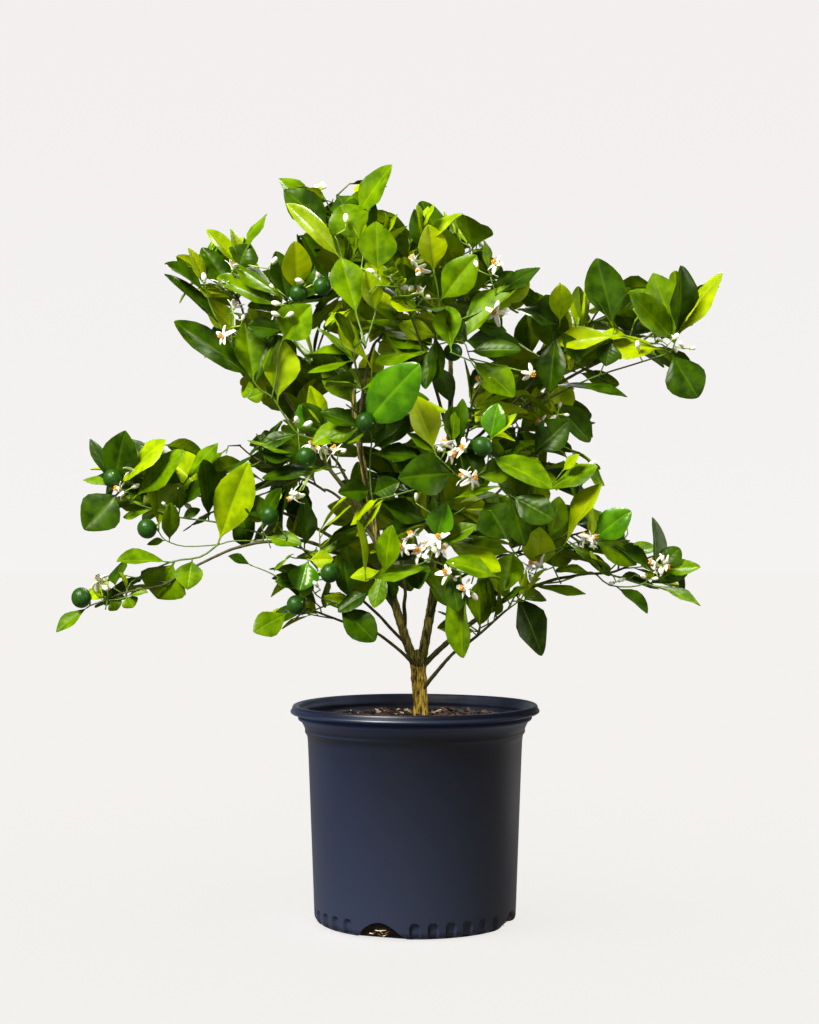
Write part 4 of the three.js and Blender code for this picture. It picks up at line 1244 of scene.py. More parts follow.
def make_mottling():
    """Two tones that meet in soft patches, with a height for a bump."""
    sockets = [
        ("Light", "NodeSocketColor", WHITE),
        ("Dark", "NodeSocketColor", WHITE),
        ("Scale", "NodeSocketFloat", 60.0),
        ("Stretch", "NodeSocketFloat", 1.0),
        ("Contrast", "NodeSocketFloat", 0.5),
    ]
    outputs = [("Color", "NodeSocketColor"), ("Height", "NodeSocketFloat")]
    group, inside, result = new_group("mottling", sockets, outputs)
    x, y, z = place_parts(group, "Object")
    tall = maths(group, "MULTIPLY", z, inside.outputs["Stretch"])
    squeezed = add_node(group, "ShaderNodeCombineXYZ", {0: x, 1: y, 2: tall}).outputs[0]
    grain = {"Vector": squeezed, "Scale": inside.outputs["Scale"], "Detail": 5.0}
    patches = add_node(group, "ShaderNodeTexNoise", grain)
    centred = maths(group, "SUBTRACT", patches.outputs[0], 0.5)
    widened = maths(group, "MULTIPLY", centred, 4.0)
    spread = maths(group, "MULTIPLY_ADD", widened, inside.outputs["Contrast"], 0.5)
    factor = add_node(group, "ShaderNodeClamp", {0: spread}).outputs[0]
    colour = blend_colours(group, factor, inside.outputs["Dark"], inside.outputs["Light"])
    group.links.new(colour, result.inputs["Color"])
    group.links.new(patches.outputs[0], result.inputs["Height"])
    return group


MOTTLING = make_mottling()
print("group", MOTTLING.name, "with", len(MOTTLING.nodes), "nodes")

# %% The leaf vein group
SIDE_VEINS = 7.0  # pairs of side veins along the blade
VEIN_SLANT = 0.17  # how far a side vein runs forward on its way to the rim


def make_veins():
    """The midrib and the side veins of a leaf, from its own coordinates: along it in X and across it in Y."""
    outputs = [("Vein", "NodeSocketFloat"), ("Swell", "NodeSocketFloat")]
    group, _, result = new_group("leaf_veins", [], outputs)
    along, across, _ = place_parts(group, "UV")
    off_half = maths(group, "ABSOLUTE", maths(group, "SUBTRACT", across, 0.5))
    off_middle = maths(group, "MULTIPLY", off_half, 2.0)
    slanted = maths(group, "SUBTRACT", along, maths(group, "MULTIPLY", off_middle, VEIN_SLANT))
    wave = maths(group, "SINE", maths(group, "MULTIPLY", slanted, 2 * math.pi * SIDE_VEINS))
    side = map_range(group, wave, 0.84, 1.0, 0.0, 0.35)
    fading = maths(group, "MULTIPLY", side, maths(group, "SUBTRACT", 1.0, off_middle))
    rib = map_range(group, off_middle, 0.09, 0.03, 0.0, 1.0)
    group.links.new(maths(group, "MAXIMUM", fading, rib), result.inputs["Vein"])
    group.links.new(maths(group, "MULTIPLY", wave, 0.5), result.inputs["Swell"])
    return group


VEINS = make_veins()
print("group", VEINS.name, "with", len(VEINS.nodes), "nodes")

# %% [markdown]
# ## Finishes
#
# One function makes every plain finish: two tones, a scale, a gloss and a bump. Leaves add their veins. Their
# tones are plain base colours, one set for each kind of spray, from the deep green of last year's leaves to
# the yellow-green of the new flush. Undersides are paler and matte, as citrus leaves are; part of their
# paleness, and of the young leaves' yellow-green, is painted light that stands for light shining through the
# blades. The pot's plastic is near black. Over it lies painted light in blue-grey: a painted reflection of
# the bright floor low on its wall, and a painted lit band in the shaded groove under its lip.

# %% One function for every finish


def finish(name, light, dark, scale, roughness, bump=0.0, depth=0.0005, contrast=0.5, stretch=1.0, **others):
    """A mottled material. The others set more of the shader's sockets, such as Specular_Tint."""
    material, tree, shader = new_material(name, {"Roughness": roughness, **others})
    tones = {"Light": linear(light), "Dark": linear(dark)}
    values = {**tones, "Scale": scale, "Stretch": stretch, "Contrast": contrast}
    mottle = add_node(tree, "ShaderNodeGroup", values, node_tree=MOTTLING)
    tree.links.new(mottle.outputs["Color"], shader.inputs["Base Color"])
    if bump:
        swell(tree, bump, depth, mottle.outputs["Height"])
    return material


def add_painted_light_band(material, tone, height, reach):
    """Painted light over a finish: a paler tone, fullest at a height and gone at a reach above and below it.
    """
    tree = material.node_tree
    away = maths(tree, "ABSOLUTE", maths(tree, "SUBTRACT", place_parts(tree, "Object")[2], height))
    lay_over(tree, map_range(tree, away, 0.0, reach, 1.0, 0.0), tone)


def leaf_finish(name, light, dark, vein, roughness, gloss, vein_share, **others):
    """A leaf surface: mottled, with veins in a paler tone and a slight swelling between them."""
    material = finish(name, light, dark, 60.0, roughness, contrast=0.95, Specular_IOR_Level=gloss, **others)
    tree = material.node_tree
    veins = add_node(tree, "ShaderNodeGroup", node_tree=VEINS)
    lay_over(tree, maths(tree, "MULTIPLY", veins.outputs["Vein"], vein_share), vein)
    swell(tree, 0.16, 0.0006, veins.outputs["Swell"])
    return material


print("every finish starts from", MOTTLING.name)

# %% Finishes of the leaves
# The undersides and the yellow-green young kinds are paler partly as real citrus leaves are, and partly as
# painted light that stands for light shining through the thin blades.
LEAF_KINDS = {  # light, dark and vein tones of the upper side and of the underside, and the share of sprays
    "old": (("365400", "1c3400", "5e7c04"), ("587000", "3e5600", "788f0e"), 0.36),
    "full": (("688800", "416000", "8ea80c"), ("809a00", "607c00", "9cb214"), 0.36),
    "fresh": (("98ae00", "718c00", "aec218"), ("a0b400", "809a00", "b2c41e"), 0.18),
    "glossy": (("508600", "346400", "7ea614"), ("729200", "587800", "90ac14"), 0.02),
    "new": (("a0b000", "829800", "b8c624"), ("a4b400", "889c00", "b8c624"), 0.08),
}
LEAF_GLOSS = {"glossy": (0.26, 0.4), "old": (0.32, 0.15)}  # roughness and specular level of kinds that shine
PLAIN_GLOSS = (0.34, 0.12)
UNDER_GLOSS = (0.6, 0.1)
VEIN_SHARES = (0.3, 0.45)  # how clearly the veins show above and below
WAX = {"Specular_Tint": linear("eaf2cc")}  # the wax on a leaf shines a little green
LEAF_FINISHES = {}
for kind, (upper, under, _) in LEAF_KINDS.items():
    gloss = LEAF_GLOSS.get(kind, PLAIN_GLOSS)
    LEAF_FINISHES[kind] = [
        leaf_finish(f"leaf_{kind}_upper", *upper, *gloss, VEIN_SHARES[0], **WAX),
        leaf_finish(f"leaf_{kind}_under", *under, *UNDER_GLOSS, VEIN_SHARES[1]),
    ]
print(len(LEAF_FINISHES), "kinds of leaves")

# %% Finishes of wood, fruit, blossom and pot
BARK_OLD = finish("bark_old", "deb838", "2a2406", 560.0, 0.85, 1.0, 0.0015, 1.35, 0.12)
BARK_LEADER = finish("bark_leader", "9a8e30", "1e1a08", 560.0, 0.85, 1.0, 0.0012, 1.2, 0.12)
BARK_YOUNG = finish("bark_young", "5a5818", "2a2c0c", 300.0, 0.75, 0.5, 0.0006, 0.6)
TWIG_GREEN = finish("twig_green", "66861a", "43600e", 200.0, 0.5, 0.2, 0.0003, 0.5)
FRUIT_SKIN = finish("fruit_skin", "2c5a08", "143604", 700.0, 0.34, 0.6, 0.0005, 0.6, Specular_IOR_Level=0.3)
FRUIT_NAVEL = finish("fruit_navel", "b9b070", "8c8a48", 900.0, 0.6)
PETAL = finish("petal", "fcf8ea", "efe8d0", 300.0, 0.45, contrast=0.4)
ANTHER = finish("anther", "f4ae28", "dc8416", 900.0, 0.6)
CALYX = finish("calyx", "a8bf4a", "86a432", 500.0, 0.5)
POT_PLASTIC = finish("pot_plastic", "0b1022", "080a15", 35.0, 0.38, 0.12, 0.0004, 0.35)
# Painted light in blue-grey: a painted reflection of the bright floor that grows paler towards the foot of the
# wall, and a painted lit band in the shaded groove under the lip.
add_painted_light_band(POT_PLASTIC, "2a3042", 0.0, 0.19)  # low on the wall
add_painted_light_band(POT_PLASTIC, "444e6a", 0.226, 0.0105)  # and under the lip
# The inside's paler tones are painted light on the shaded inside wall.
POT_INSIDE_PAINTED_LIGHT = finish("pot_inside_painted_light", "4c5468", "30364a", 35.0, 0.45, 0.12, 0.0004, 0.35)
POTTING_MIX = finish("potting_mix", "2e1d10", "120b05", 420.0, 0.95, 1.0, 0.003, 0.9)
CHIP_BROWN = finish("chip_brown", "6e4018", "301a08", 300.0, 0.85, 0.6, 0.001, 0.8)
CHIP_DARK = finish("chip_dark", "2e1c10", "140b06", 300.0, 0.9, 0.6, 0.001, 0.8)
CHIP_PALE = finish("chip_pale", "f6ecd0", "c8aa62", 300.0, 0.85, 0.4, 0.001, 0.7)
print(len(bpy.data.materials), "materials")

# %% [markdown]
# ## Making meshes
#
# Hundreds of leaves are too many objects, so small shapes of one kind are piled into one mesh. A pile
# collects points and faces in millimetres and becomes a piece at the end. Geometry Nodes could scatter them
# too, but plain arrays keep every leaf exactly where the growing rule put it.

# %% Piles of small shapes
BODY = "root"


class Pile:
    """Points and faces of many small shapes that become one piece."""

    def __init__(self):
        self.points, self.faces, self.slots, self.places, self.count = [], [], [], [], 0

    def add(self, points, faces, slots=0, places=None):
        """Adds one shape. slots is a material number for all faces, or one for each."""
        self.points.append(np.asarray(points, float))
        self.faces += [tuple(i + self.count for i in face) for face in faces]
        self.slots += [slots] * len(faces) if isinstance(slots, int) else list(slots)
        self.places.append(np.zeros((len(points), 2)) if places is None else places)
        self.count += len(points)

    def rod(self, start, end, radii, sides, slot):
        """Adds a straight tube."""
        self.add(*tube(np.array([start, end]), radii, sides), slot)

    def put(self, shape, size, axis, centre, slot=0):
        """Adds a shape round a centre, with its Z along an axis."""
        self.add(turned_to(shape[0] * size, axis) + centre, shape[1], slot)

    def piece(self, name, materials, slot, nodes, sharp_rims=False):
        """Makes the piece, which rides on the body and stands for some CAD nodes."""
        mesh = bpy.data.meshes.new(name)
        points = np.vstack(self.points)
        mesh.from_pydata((points * MM).tolist(), [], self.faces)
        for material in materials:
            mesh.materials.append(material)
        mesh.polygons.foreach_set("material_index", self.slots)
        mesh.polygons.foreach_set("use_smooth", [True] * len(self.faces))
        corners = np.empty(len(mesh.loops), int)
        mesh.loops.foreach_get("vertex_index", corners)
        mesh.uv_layers.new(name="place").data.foreach_set("uv", np.vstack(self.places)[corners].ravel())
        if sharp_rims:
            sharpen_rims(mesh)
        mesh.update()
        made = put_in_scene(name, mesh)
        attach(made, BODY)
        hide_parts(*nodes)
        print(name, len(points), "points,", sum(len(face) - 2 for face in self.faces), "triangles")
        return made


def sharpen_rims(mesh):
    """Marks the edges where two materials meet as sharp, so that each side keeps its own shading."""
    sides = {}
    for polygon in mesh.polygons:
        for key in polygon.edge_keys:
            sides.setdefault(key, set()).add(polygon.material_index)
    marks = [len(sides[edge.key]) > 1 for edge in mesh.edges]
    mesh.attributes.new("sharp_edge", "BOOLEAN", "EDGE").data.foreach_set("value", marks)


print("every piece rides on", BODY)

# %% Tubes


def ring_faces(rings, sides):
    """Quads between rings of points, and a face at each end."""
    faces = []
    for i in range(rings - 1):
        for j in range(sides):
            k = (j + 1) % sides
            faces.append((i * sides + j, i * sides + k, (i + 1) * sides + k, (i + 1) * sides + j))
    last = (rings - 1) * sides
    return faces + [tuple(range(sides))[::-1], tuple(last + j for j in range(sides))]


def round_angles(count):
    """Angles evenly round a circle."""
    return 2 * math.pi * np.arange(count) / count


def tube(points, radii, sides, relief=None):
    """The points and faces of a closed tube. relief gives how far a point stands out, from ring and angle."""
    tangents = np.gradient(points, axis=0)
    normal = square_to(unit(tangents[0]), 0)
    angles = round_angles(sides)
    rings = []
    for i, (point, tangent, radius) in enumerate(zip(points, tangents, radii)):
        tangent = unit(tangent)
        normal = squared(normal, tangent)
        spokes = np.cos(angles)[:, None] * normal + np.sin(angles)[:, None] * np.cross(tangent, normal)
        out = np.full(sides, float(radius))
        if relief:
            out += [relief(i, angle) for angle in angles]
        rings.append(point + spokes * out[:, None])
    return np.vstack(rings), ring_faces(len(rings), sides)


def capped(points, sides, ends):
    """Rings of points with an end point for each end, and all faces of the closed shape."""
    count = len(points)
    faces, last = ring_faces(count // sides, sides)[:-2], count - sides
    for j in range(sides):
        k = (j + 1) % sides
        faces += [(count, k, j), (count + 1, last + j, last + k)]
    return np.vstack([points, ends]), faces


print(len(ring_faces(2, 6)), "faces to a six-sided rod")

# %% [markdown]
# ## Leaves
#
# A citrus leaf is a leathery blade, widest past its middle, blunt at the tip, on a short stalk. It folds up a
# little along its midrib, bends down towards its tip and waves at its rim. Each one is a closed shell with
# its own upper and under side, so light and colour differ on both. A flat card with a picture would be
# lighter, but it would be thin as paper at every silhouette.

# %% The blade of a leaf
COLUMNS = np.array([-1, -0.6, -0.1, 0, 0.1, 0.6, 1.0])
LEAF_ROWS = np.array([0, 0.085, 0.13, 0.2, 0.3, 0.43, 0.57, 0.7, 0.82, 0.91, 0.965, 0.992])
STALK_ROWS = 2
STALK_SHARE = 0.045  # half width of the stalk beside that of the blade
BLADE_UP = 0.25
STALK_UP = 0.7
RIB = 0.55  # how far the midrib stands out below
GROOVE = 0.3  # and how deep it runs above


def leaf_halves(belly, blunt):
    """Half widths of a leaf at its rows, as shares of the widest. A larger belly lies nearer to the tip."""
    t = (LEAF_ROWS[STALK_ROWS - 1 :] - LEAF_ROWS[STALK_ROWS - 1]) / (1 - LEAF_ROWS[STALK_ROWS - 1])
    blade = np.sin(math.pi * t[1:] ** belly) ** (1.15 - blunt * t[1:])
    return np.concatenate([np.full(STALK_ROWS, STALK_SHARE), blade])


def blade_faces(rows):
    """The faces of one closed blade, and for each whether it belongs to the underside."""
    columns = len(COLUMNS)

    def upper(r, c):
        return 2 + r * (2 * columns - 2) + c

    def lower(r, c):
        return upper(r, c) if c in (0, columns - 1) else upper(r, c) + columns - 1

    faces, under = [], []
    last = rows - 1
    for c in range(columns - 1):
        faces += [(0, upper(0, c + 1), upper(0, c)), (1, upper(last, c), upper(last, c + 1))]
        faces += [(0, lower(0, c), lower(0, c + 1)), (1, lower(last, c + 1), lower(last, c))]
        under += [0, 0, 1, 1]
        for r in range(last):
            faces.append((upper(r, c), upper(r, c + 1), upper(r + 1, c + 1), upper(r + 1, c)))
            faces.append((lower(r, c), lower(r + 1, c), lower(r + 1, c + 1), lower(r, c + 1)))
            under += [0, 1]
    return faces, under


def blade_points(leaf, rows, halves, ups, rib, groove):
    """The points of one blade, in the order that blade_faces counts them."""
    u, half = rows[:, None], halves[:, None]
    across = COLUMNS * half * leaf["width"] / 2
    middle = (COLUMNS == 0) * (half > 2 * STALK_SHARE)
    wave = leaf["wave"] * leaf["width"] * half * COLUMNS**2 * np.sin(9 * u + leaf["phase"] + 1.4 * COLUMNS)
    height = leaf["fold"] * abs(across) - leaf["roll"] * leaf["width"] * half * abs(COLUMNS) ** 3 + wave
    height = height - leaf["curl"] * leaf["length"] * u**2
    top, bottom = height + ups[:, None] - groove * middle, height - ups[:, None] - rib * middle
    top[:, 0] = bottom[:, 0] = height[:, 0]
    top[:, -1] = bottom[:, -1] = height[:, -1]

    def placed(x, y, z):
        x, y, z = x[..., None], y[..., None], z[..., None]
        return leaf["start"] + x * leaf["along"] + y * leaf["side"] + z * leaf["face"]

    x = np.broadcast_to(u * leaf["length"], across.shape)
    grid = np.concatenate([placed(x, across, top), placed(x, across, bottom)[:, 1:-1]], axis=1)
    drop = np.array([0.0, -leaf["curl"] * leaf["length"]])
    ends = placed(np.array([-1.0, leaf["length"]]), np.zeros(2), drop)
    return np.vstack([ends, grid.reshape(-1, 3)])


def blade_places(rows):
    """The leaf's own coordinates at every point of a blade: along it and across it."""
    across = np.concatenate([COLUMNS, COLUMNS[1:-1]]) / 2 + 0.5
    grid = np.stack(np.broadcast_arrays(rows[:, None], across), axis=2).reshape(-1, 2)
    return np.vstack([[0, 0.5], [1, 0.5], grid])


LEAF_FACES, LEAF_UNDER = blade_faces(len(LEAF_ROWS))
LEAF_PLACES = blade_places(LEAF_ROWS)
LEAF_UPS = np.where(np.arange(len(LEAF_ROWS)) < STALK_ROWS, STALK_UP, BLADE_UP)
print(len(LEAF_FACES), "faces to a leaf")

# %% [markdown]
# ## Dealing out the greens
#
# On the real tree the colour of a leaf follows its age, and the leaves of one spray are of one age. So a kind
# is dealt to each twig, not to each leaf: deep green to most, and yellow-green to the new flush.

# %% Leaves of every kind
MASS_NODES = ["mass_" + mass["name"] for mass in MASSES]
DEAL_SEED = 71
BELLIES = (0.85, 1.3)
BLUNT = (0.25, 0.6)
NEW_SHARE = 0.6  # how many of the young twigs bear new leaves, and the rest fresh ones


def deal_kind(twig, draw):
    """The kind of leaf that a twig bears."""
    if twig["young"]:
        return "new" if draw() < NEW_SHARE else "fresh"
    chance = draw()
    for kind, (_, _, share) in LEAF_KINDS.items():
        chance -= share
        if chance < 0:
            return kind
    return "full"


def dress_leaf(leaf, draw):
    """Gives a leaf its fold, roll and waves."""
    young = leaf["shoot"]["young"]
    leaf["width"] *= 0.85 if young else 1.04
    leaf["fold"] = between(draw, 0.35, 0.6) if young else between(draw, 0.1, 0.55)
    leaf["roll"] = between(draw, 0.0, 0.16)
    leaf["wave"] = between(draw, 0.02, 0.09)
    leaf["phase"] = between(draw, 0, 2 * math.pi)
    leaf["belly"] = between(draw, *BELLIES)
    leaf["blunt"] = between(draw, *BLUNT)


deal = seeded(DEAL_SEED)
for twig in TWIGS:
    twig["kind"] = deal_kind(twig, deal)
leaf_piles = {kind: Pile() for kind in LEAF_KINDS}
for leaf in LEAVES:
    dress_leaf(leaf, deal)
    halves = leaf_halves(leaf["belly"], leaf["blunt"])
    points = blade_points(leaf, LEAF_ROWS, halves, LEAF_UPS, RIB, GROOVE)
    leaf_piles[leaf["shoot"]["kind"]].add(points, LEAF_FACES, LEAF_UNDER, LEAF_PLACES)
for kind, pile in leaf_piles.items():
    pile.piece(f"leaves_{kind}", LEAF_FINISHES[kind], "foliage", MASS_NODES, sharp_rims=True)

# %% [markdown]
# ## Twigs
#
# Young citrus wood is green and a little angular. Each twig is a slim tapering tube along a smoothed row of
# its nodes. The stems of the masses have turned olive, and the finer twigs are still green.

# %% Twigs
TWIG_FEET = (1.9, 1.25, 0.95)  # radius at the foot of a stem, a shoot and a finer twig
TWIG_TIPS = (1.05, 0.8, 0.65)
TWIG_SIDES = 6
STEM_ROOT = 0.2  # how far a stem runs back into its bough, as a share of its first stretch

twig_pile = Pile()
for twig in TWIGS:
    nodes = twig["nodes"]
    if twig["rank"] == 0:
        nodes = np.vstack([nodes[0] - (nodes[1] - nodes[0]) * STEM_ROOT, nodes])
    row = smooth_row(nodes, 3)
    radii = np.linspace(TWIG_FEET[twig["rank"]], TWIG_TIPS[twig["rank"]], len(row))
    twig_pile.add(*tube(row, radii, TWIG_SIDES), 0 if twig["rank"] == 0 else 1)
twig_pile.piece("twigs", [BARK_YOUNG, TWIG_GREEN], "foliage", MASS_NODES)

# %% [markdown]
# ## Trunk, leaders and boughs
#
# The bark of an old calamondin is a warm yellow-olive, split by long cracks, with short scars across. The
# leaders are greyer than the trunk, and the boughs are green. The cracks are cut into the mesh, ring by
# ring, from a noise that is drawn out along the limb, and old scars ring the trunk. A bump alone would leave
# the outline smooth, which would tell on a trunk that is seen against a pale backdrop.

# %% Limbs with their bark
LIMB_MAKES = {  # number of sides, length between two rings, depth of the cracks, and sway of the middle line
    "trunk": (64, 1.2, 0.85, 0.0),
    "leader": (36, 2.4, 0.4, 1.2),
    "bough": (12, 4.0, 0.14, 2.0),
}
CRACK_GRAIN = 3.4  # cracks round the limb
CRACK_LENGTH = 17
FLARE = 0.45  # how much thicker a limb is where it leaves another
FLARE_LENGTH = 7
KNOT_STEP = 23  # between two swellings
TRUNK_WIDEST = 8.4
SCAR_RING = 0.9  # old scars stand out round the trunk
SCAR_HEIGHTS = (271.0, 284.0)
SCAR_SPREAD = 2.6


def bark_height(angle, along, offset, depth):
    """How far the bark stands out at an angle and a length."""
    x, y = math.cos(angle) * CRACK_GRAIN, math.sin(angle) * CRACK_GRAIN
    place = Vector((x, y, along / CRACK_LENGTH + offset))
    crack = max(0.0, 1 - abs(noise.noise(place)) * 7)
    scar = max(0.0, noise.noise(Vector((offset, math.cos(angle) * 0.7, along / 3.2)))) ** 2
    return depth * (0.5 * noise.noise(place * 2.7) - crack + scar)


def make_limb(pile, name, limb, offset):
    """One limb as a tube with its bark."""
    kind = name.split("_")[0]
    sides, step, depth, sway = LIMB_MAKES[kind]
    rings = math.ceil(limb["length"] / step)
    shares = np.linspace(0, 1, rings + 1)
    points = bezier(limb, shares)
    along = shares * limb["length"]
    for axis in range(3):
        wander = np.array([noise.noise(Vector((a / 27, offset, 5.0 * axis))) for a in along])
        points[:, axis] += sway * wander * np.sin(math.pi * shares)
    radii = radii_at(limb, shares)
    if kind == "trunk":
        radii = np.minimum(radii, TRUNK_WIDEST)
        scars = sum(np.exp(-(((points[:, 2] - z) / SCAR_SPREAD) ** 2)) for z in SCAR_HEIGHTS)
        radii = radii + SCAR_RING * scars
    else:
        radii = radii * (1 + FLARE * np.exp(-along / FLARE_LENGTH - 0.5))
        radii = radii * (1 + 0.1 * np.cos(2 * math.pi * along / KNOT_STEP + offset) ** 8)
    mesh = tube(points, radii, sides, lambda i, angle: bark_height(angle, along[i], offset, depth))
    pile.add(*mesh, 1 if kind == "leader" else 0)


BOUGHS = [name for name in LIMBS if name.startswith("bough")]
trunk_pile, bough_pile = Pile(), Pile()
for number, (name, limb) in enumerate(LIMBS.items()):
    make_limb(bough_pile if name in BOUGHS else trunk_pile, name, limb, 3.1 * number)
STUB_POINTS = np.array([(4, -3, 286), (2, -7, 296), (0, -8, 303)], float)
STUB_RADII = (6.5, 5.2, 4.4)  # the stub of an old leader, in the fork
trunk_pile.add(*tube(STUB_POINTS, STUB_RADII, 24), 1)
trunk_pile.piece("bark_trunk", [BARK_OLD, BARK_LEADER], "bark", ["trunk", *LEADERS])
bough_pile.piece("bark_boughs", [BARK_YOUNG], "bark", BOUGHS)

# %% [markdown]
# ## Fruit
#
# The young calamondins are dark green balls about 22 mm across, slightly flattened, each with a small scar at
# the far end and a five-pointed calyx at its stalk.

# %% Fruit
FRUIT_ROWS, FRUIT_SIDES = 14, 22
FRUIT_FLAT = 0.94
HANG = 0.6  # how much a fruit turns to hang down
LESS_DEEP = (1, 0.3, 1)  # and how little it points to the front or to the back
NAVEL = 1.3
CALYX_RADIUS = 3.2


def ball(rows, sides):
    """A closed ball of radius 1 round the origin, with its poles on Z."""
    lows = np.linspace(-math.pi / 2, math.pi / 2, rows + 1)[1:-1]
    flat = [(math.cos(angle), math.sin(angle)) for angle in round_angles(sides)]
    points = [(math.cos(low) * x, math.cos(low) * y, math.sin(low)) for low in lows for x, y in flat]
    return capped(np.array(points), sides, [(0, 0, -1), (0, 0, 1)])


def turned_to(points, axis, turn=0.0):
    """Points turned so that their Z lies on an axis."""
    side = square_to(axis, turn)
    return points[:, :1] * side + points[:, 1:2] * np.cross(axis, side) + points[:, 2:] * axis


def star(points_count, radius, inner, height):
    """A closed low star with its centre raised, round the origin."""
    angles = round_angles(2 * points_count)
    reach = np.where(np.arange(2 * points_count) % 2 == 0, radius, inner)
    rim = np.column_stack([reach * np.cos(angles), reach * np.sin(angles), np.zeros(len(angles))])
    return capped(rim, len(rim), [(0, 0, -height / 2), (0, 0, height)])


fruit_pile = Pile()
FRUIT_BALL = ball(FRUIT_ROWS, FRUIT_SIDES)
SMALL_BALL = ball(6, 10)
CALYX_STAR = star(5, CALYX_RADIUS, CALYX_RADIUS * 0.45, 1.2)
for fruit in FRUIT:
    centre, radius = fruit["centre"], fruit["radius"]
    axis = unit(unit(fruit["centre"] - fruit["foot"]) * LESS_DEEP - UP * HANG)
    size = (radius, radius, radius * FRUIT_FLAT)
    fruit_pile.rod(fruit["foot"], centre - axis * radius * 0.8, (1.0, 1.2), 6, 2)
    fruit_pile.put(FRUIT_BALL, size, axis, centre)
    fruit_pile.put(SMALL_BALL, (NAVEL, NAVEL, 0.6), axis, centre + axis * (size[2] - 0.3), 1)
    fruit_pile.put(CALYX_STAR, 1, -axis, centre - axis * (size[2] - 0.2), 2)
fruit_pile.piece("fruit", [FRUIT_SKIN, FRUIT_NAVEL, CALYX], "foliage", MASS_NODES)

# %% [markdown]
# ## Blossom
#
# Citrus blossom has five thick white petals that bend back, a ring of stamens with orange tips, and a pale
# pistil. Buds are white too, in small clusters at the tips. A petal is the same closed blade as a leaf, only
# short, thick and bent back, so one function serves both.

# %% Blossom and buds
PETALS = 5
PETAL_LENGTH, PETAL_WIDTH = 12.5, 6.0
PETAL_ROWS = np.array([0, 0.12, 0.3, 0.5, 0.7, 0.87, 0.97])
PETAL_HALVES = np.sin(math.pi * (0.1 + 0.82 * PETAL_ROWS)) ** 0.7
PETAL_UPS = np.full(len(PETAL_ROWS), 0.4)
PETAL_FACES, _ = blade_faces(len(PETAL_ROWS))
PETAL_PLACES = blade_places(PETAL_ROWS)
STAMENS = 10
STAMEN_LENGTH = 6.5
TINY_BALL = ball(4, 6)
ANTHER_SIZE = np.array([0.9, 0.9, 1.6])
BUD_SIZE = (3.1, 3.1, 5.0)
PEDICEL = 0.55
BLOSSOM_SEED = 909


def add_petals(pile, centre, axis, turn, draw):
    """Five petals round an axis, each bent back a little differently."""
    openness = math.radians(between(draw, 30, 105))
    for i in range(PETALS):
        radial = square_to(axis, turn + 2 * math.pi * i / PETALS + between(draw, -0.25, 0.25))
        angle = openness * between(draw, 0.7, 1.3)
        face = axis * math.sin(angle) - radial * math.cos(angle)
        size = between(draw, 0.8, 1.1)
        petal = leaf_frame(centre + radial * 0.8, tilted(axis, radial, angle), face)
        petal |= {"length": PETAL_LENGTH * size, "width": PETAL_WIDTH * size, "curl": between(draw, 0.1, 0.7)}
        petal |= {"fold": 0.25, "roll": 0.0, "wave": 0.04, "phase": between(draw, 0, 6)}
        points = blade_points(petal, PETAL_ROWS, PETAL_HALVES, PETAL_UPS, 0, 0)
        pile.add(points, PETAL_FACES, 0, PETAL_PLACES)


def add_flower(pile, foot, axis, stalk, draw):
    """An open flower on its stalk."""
    centre = foot + axis * stalk
    turn = between(draw, 0, 6)
    pile.rod(foot - axis, centre, (PEDICEL, PEDICEL * 1.5), 5, 2)
    pile.put(SMALL_BALL, (2.2, 2.2, 1.6), axis, centre, 2)
    add_petals(pile, centre, axis, turn, draw)
    for i in range(STAMENS):
        radial = square_to(axis, turn + 2 * math.pi * i / STAMENS)
        high = centre + radial * 2.4 + axis * STAMEN_LENGTH * between(draw, 0.85, 1.1)
        pile.rod(centre + radial * 1.3, high, (0.7, 0.5), 4, 0)
        pile.put(TINY_BALL, ANTHER_SIZE, axis, high, 1)
    pile.rod(centre, centre + axis * STAMEN_LENGTH * 0.85, (0.6, 0.6), 5, 2)
    pile.put(TINY_BALL, ANTHER_SIZE * 1.4, axis, centre + axis * STAMEN_LENGTH * 0.9, 2)


def add_bud(pile, foot, axis, stalk, draw):
    """A white bud on its stalk, with a green calyx."""
    size = np.array(BUD_SIZE) * between(draw, 0.6, 1.1)
    centre = foot + axis * (stalk + size[2])
    pile.rod(foot - axis, centre, (PEDICEL, PEDICEL * 1.3), 5, 2)
    pile.put(SMALL_BALL, size, axis, centre)
    pile.put(SMALL_BALL, (2.0, 2.0, 1.5), axis, foot + axis * stalk, 2)


def add_cluster(pile, foot, hub, flowers, buds, draw):
    """Flowers and buds on short stalks that part at a hub, a little way off the twig."""
    axis = unit(hub - foot)
    pile.rod(foot, hub, (PEDICEL * 1.5, PEDICEL * 1.3), 5, 2)
    for i in range(flowers + buds):
        out = square_to(axis, i * GOLDEN_ANGLE + 2 * draw())
        lean = unit(axis * between(draw, -0.2, 1) + out + UP * between(draw, -0.3, 0.3))
        if i < flowers:
            add_flower(pile, hub, lean, between(draw, 2, 7), draw)
        else:
            add_bud(pile, hub, lean, between(draw, 3, 9), draw)


blossom_pile = Pile()
bloom = seeded(BLOSSOM_SEED)
for blossom in BLOSSOM:
    flowers = blossom.get("flowers", 1 + int(2 * bloom()))
    buds = blossom.get("buds", 1 + int(3 * bloom()))
    add_cluster(blossom_pile, blossom["foot"], blossom["centre"], flowers, buds, bloom)
for twig in TWIGS:
    if twig["rank"] == 2 and bloom() < FINE_BLOSSOM:
        point, heading = place_on(twig["nodes"], 0)
        add_cluster(blossom_pile, point, point + heading * 6, int(1.6 * bloom()), 1 + int(3 * bloom()), bloom)
blossom_pile.piece("blossom", [PETAL, ANTHER, CALYX], "foliage", MASS_NODES)
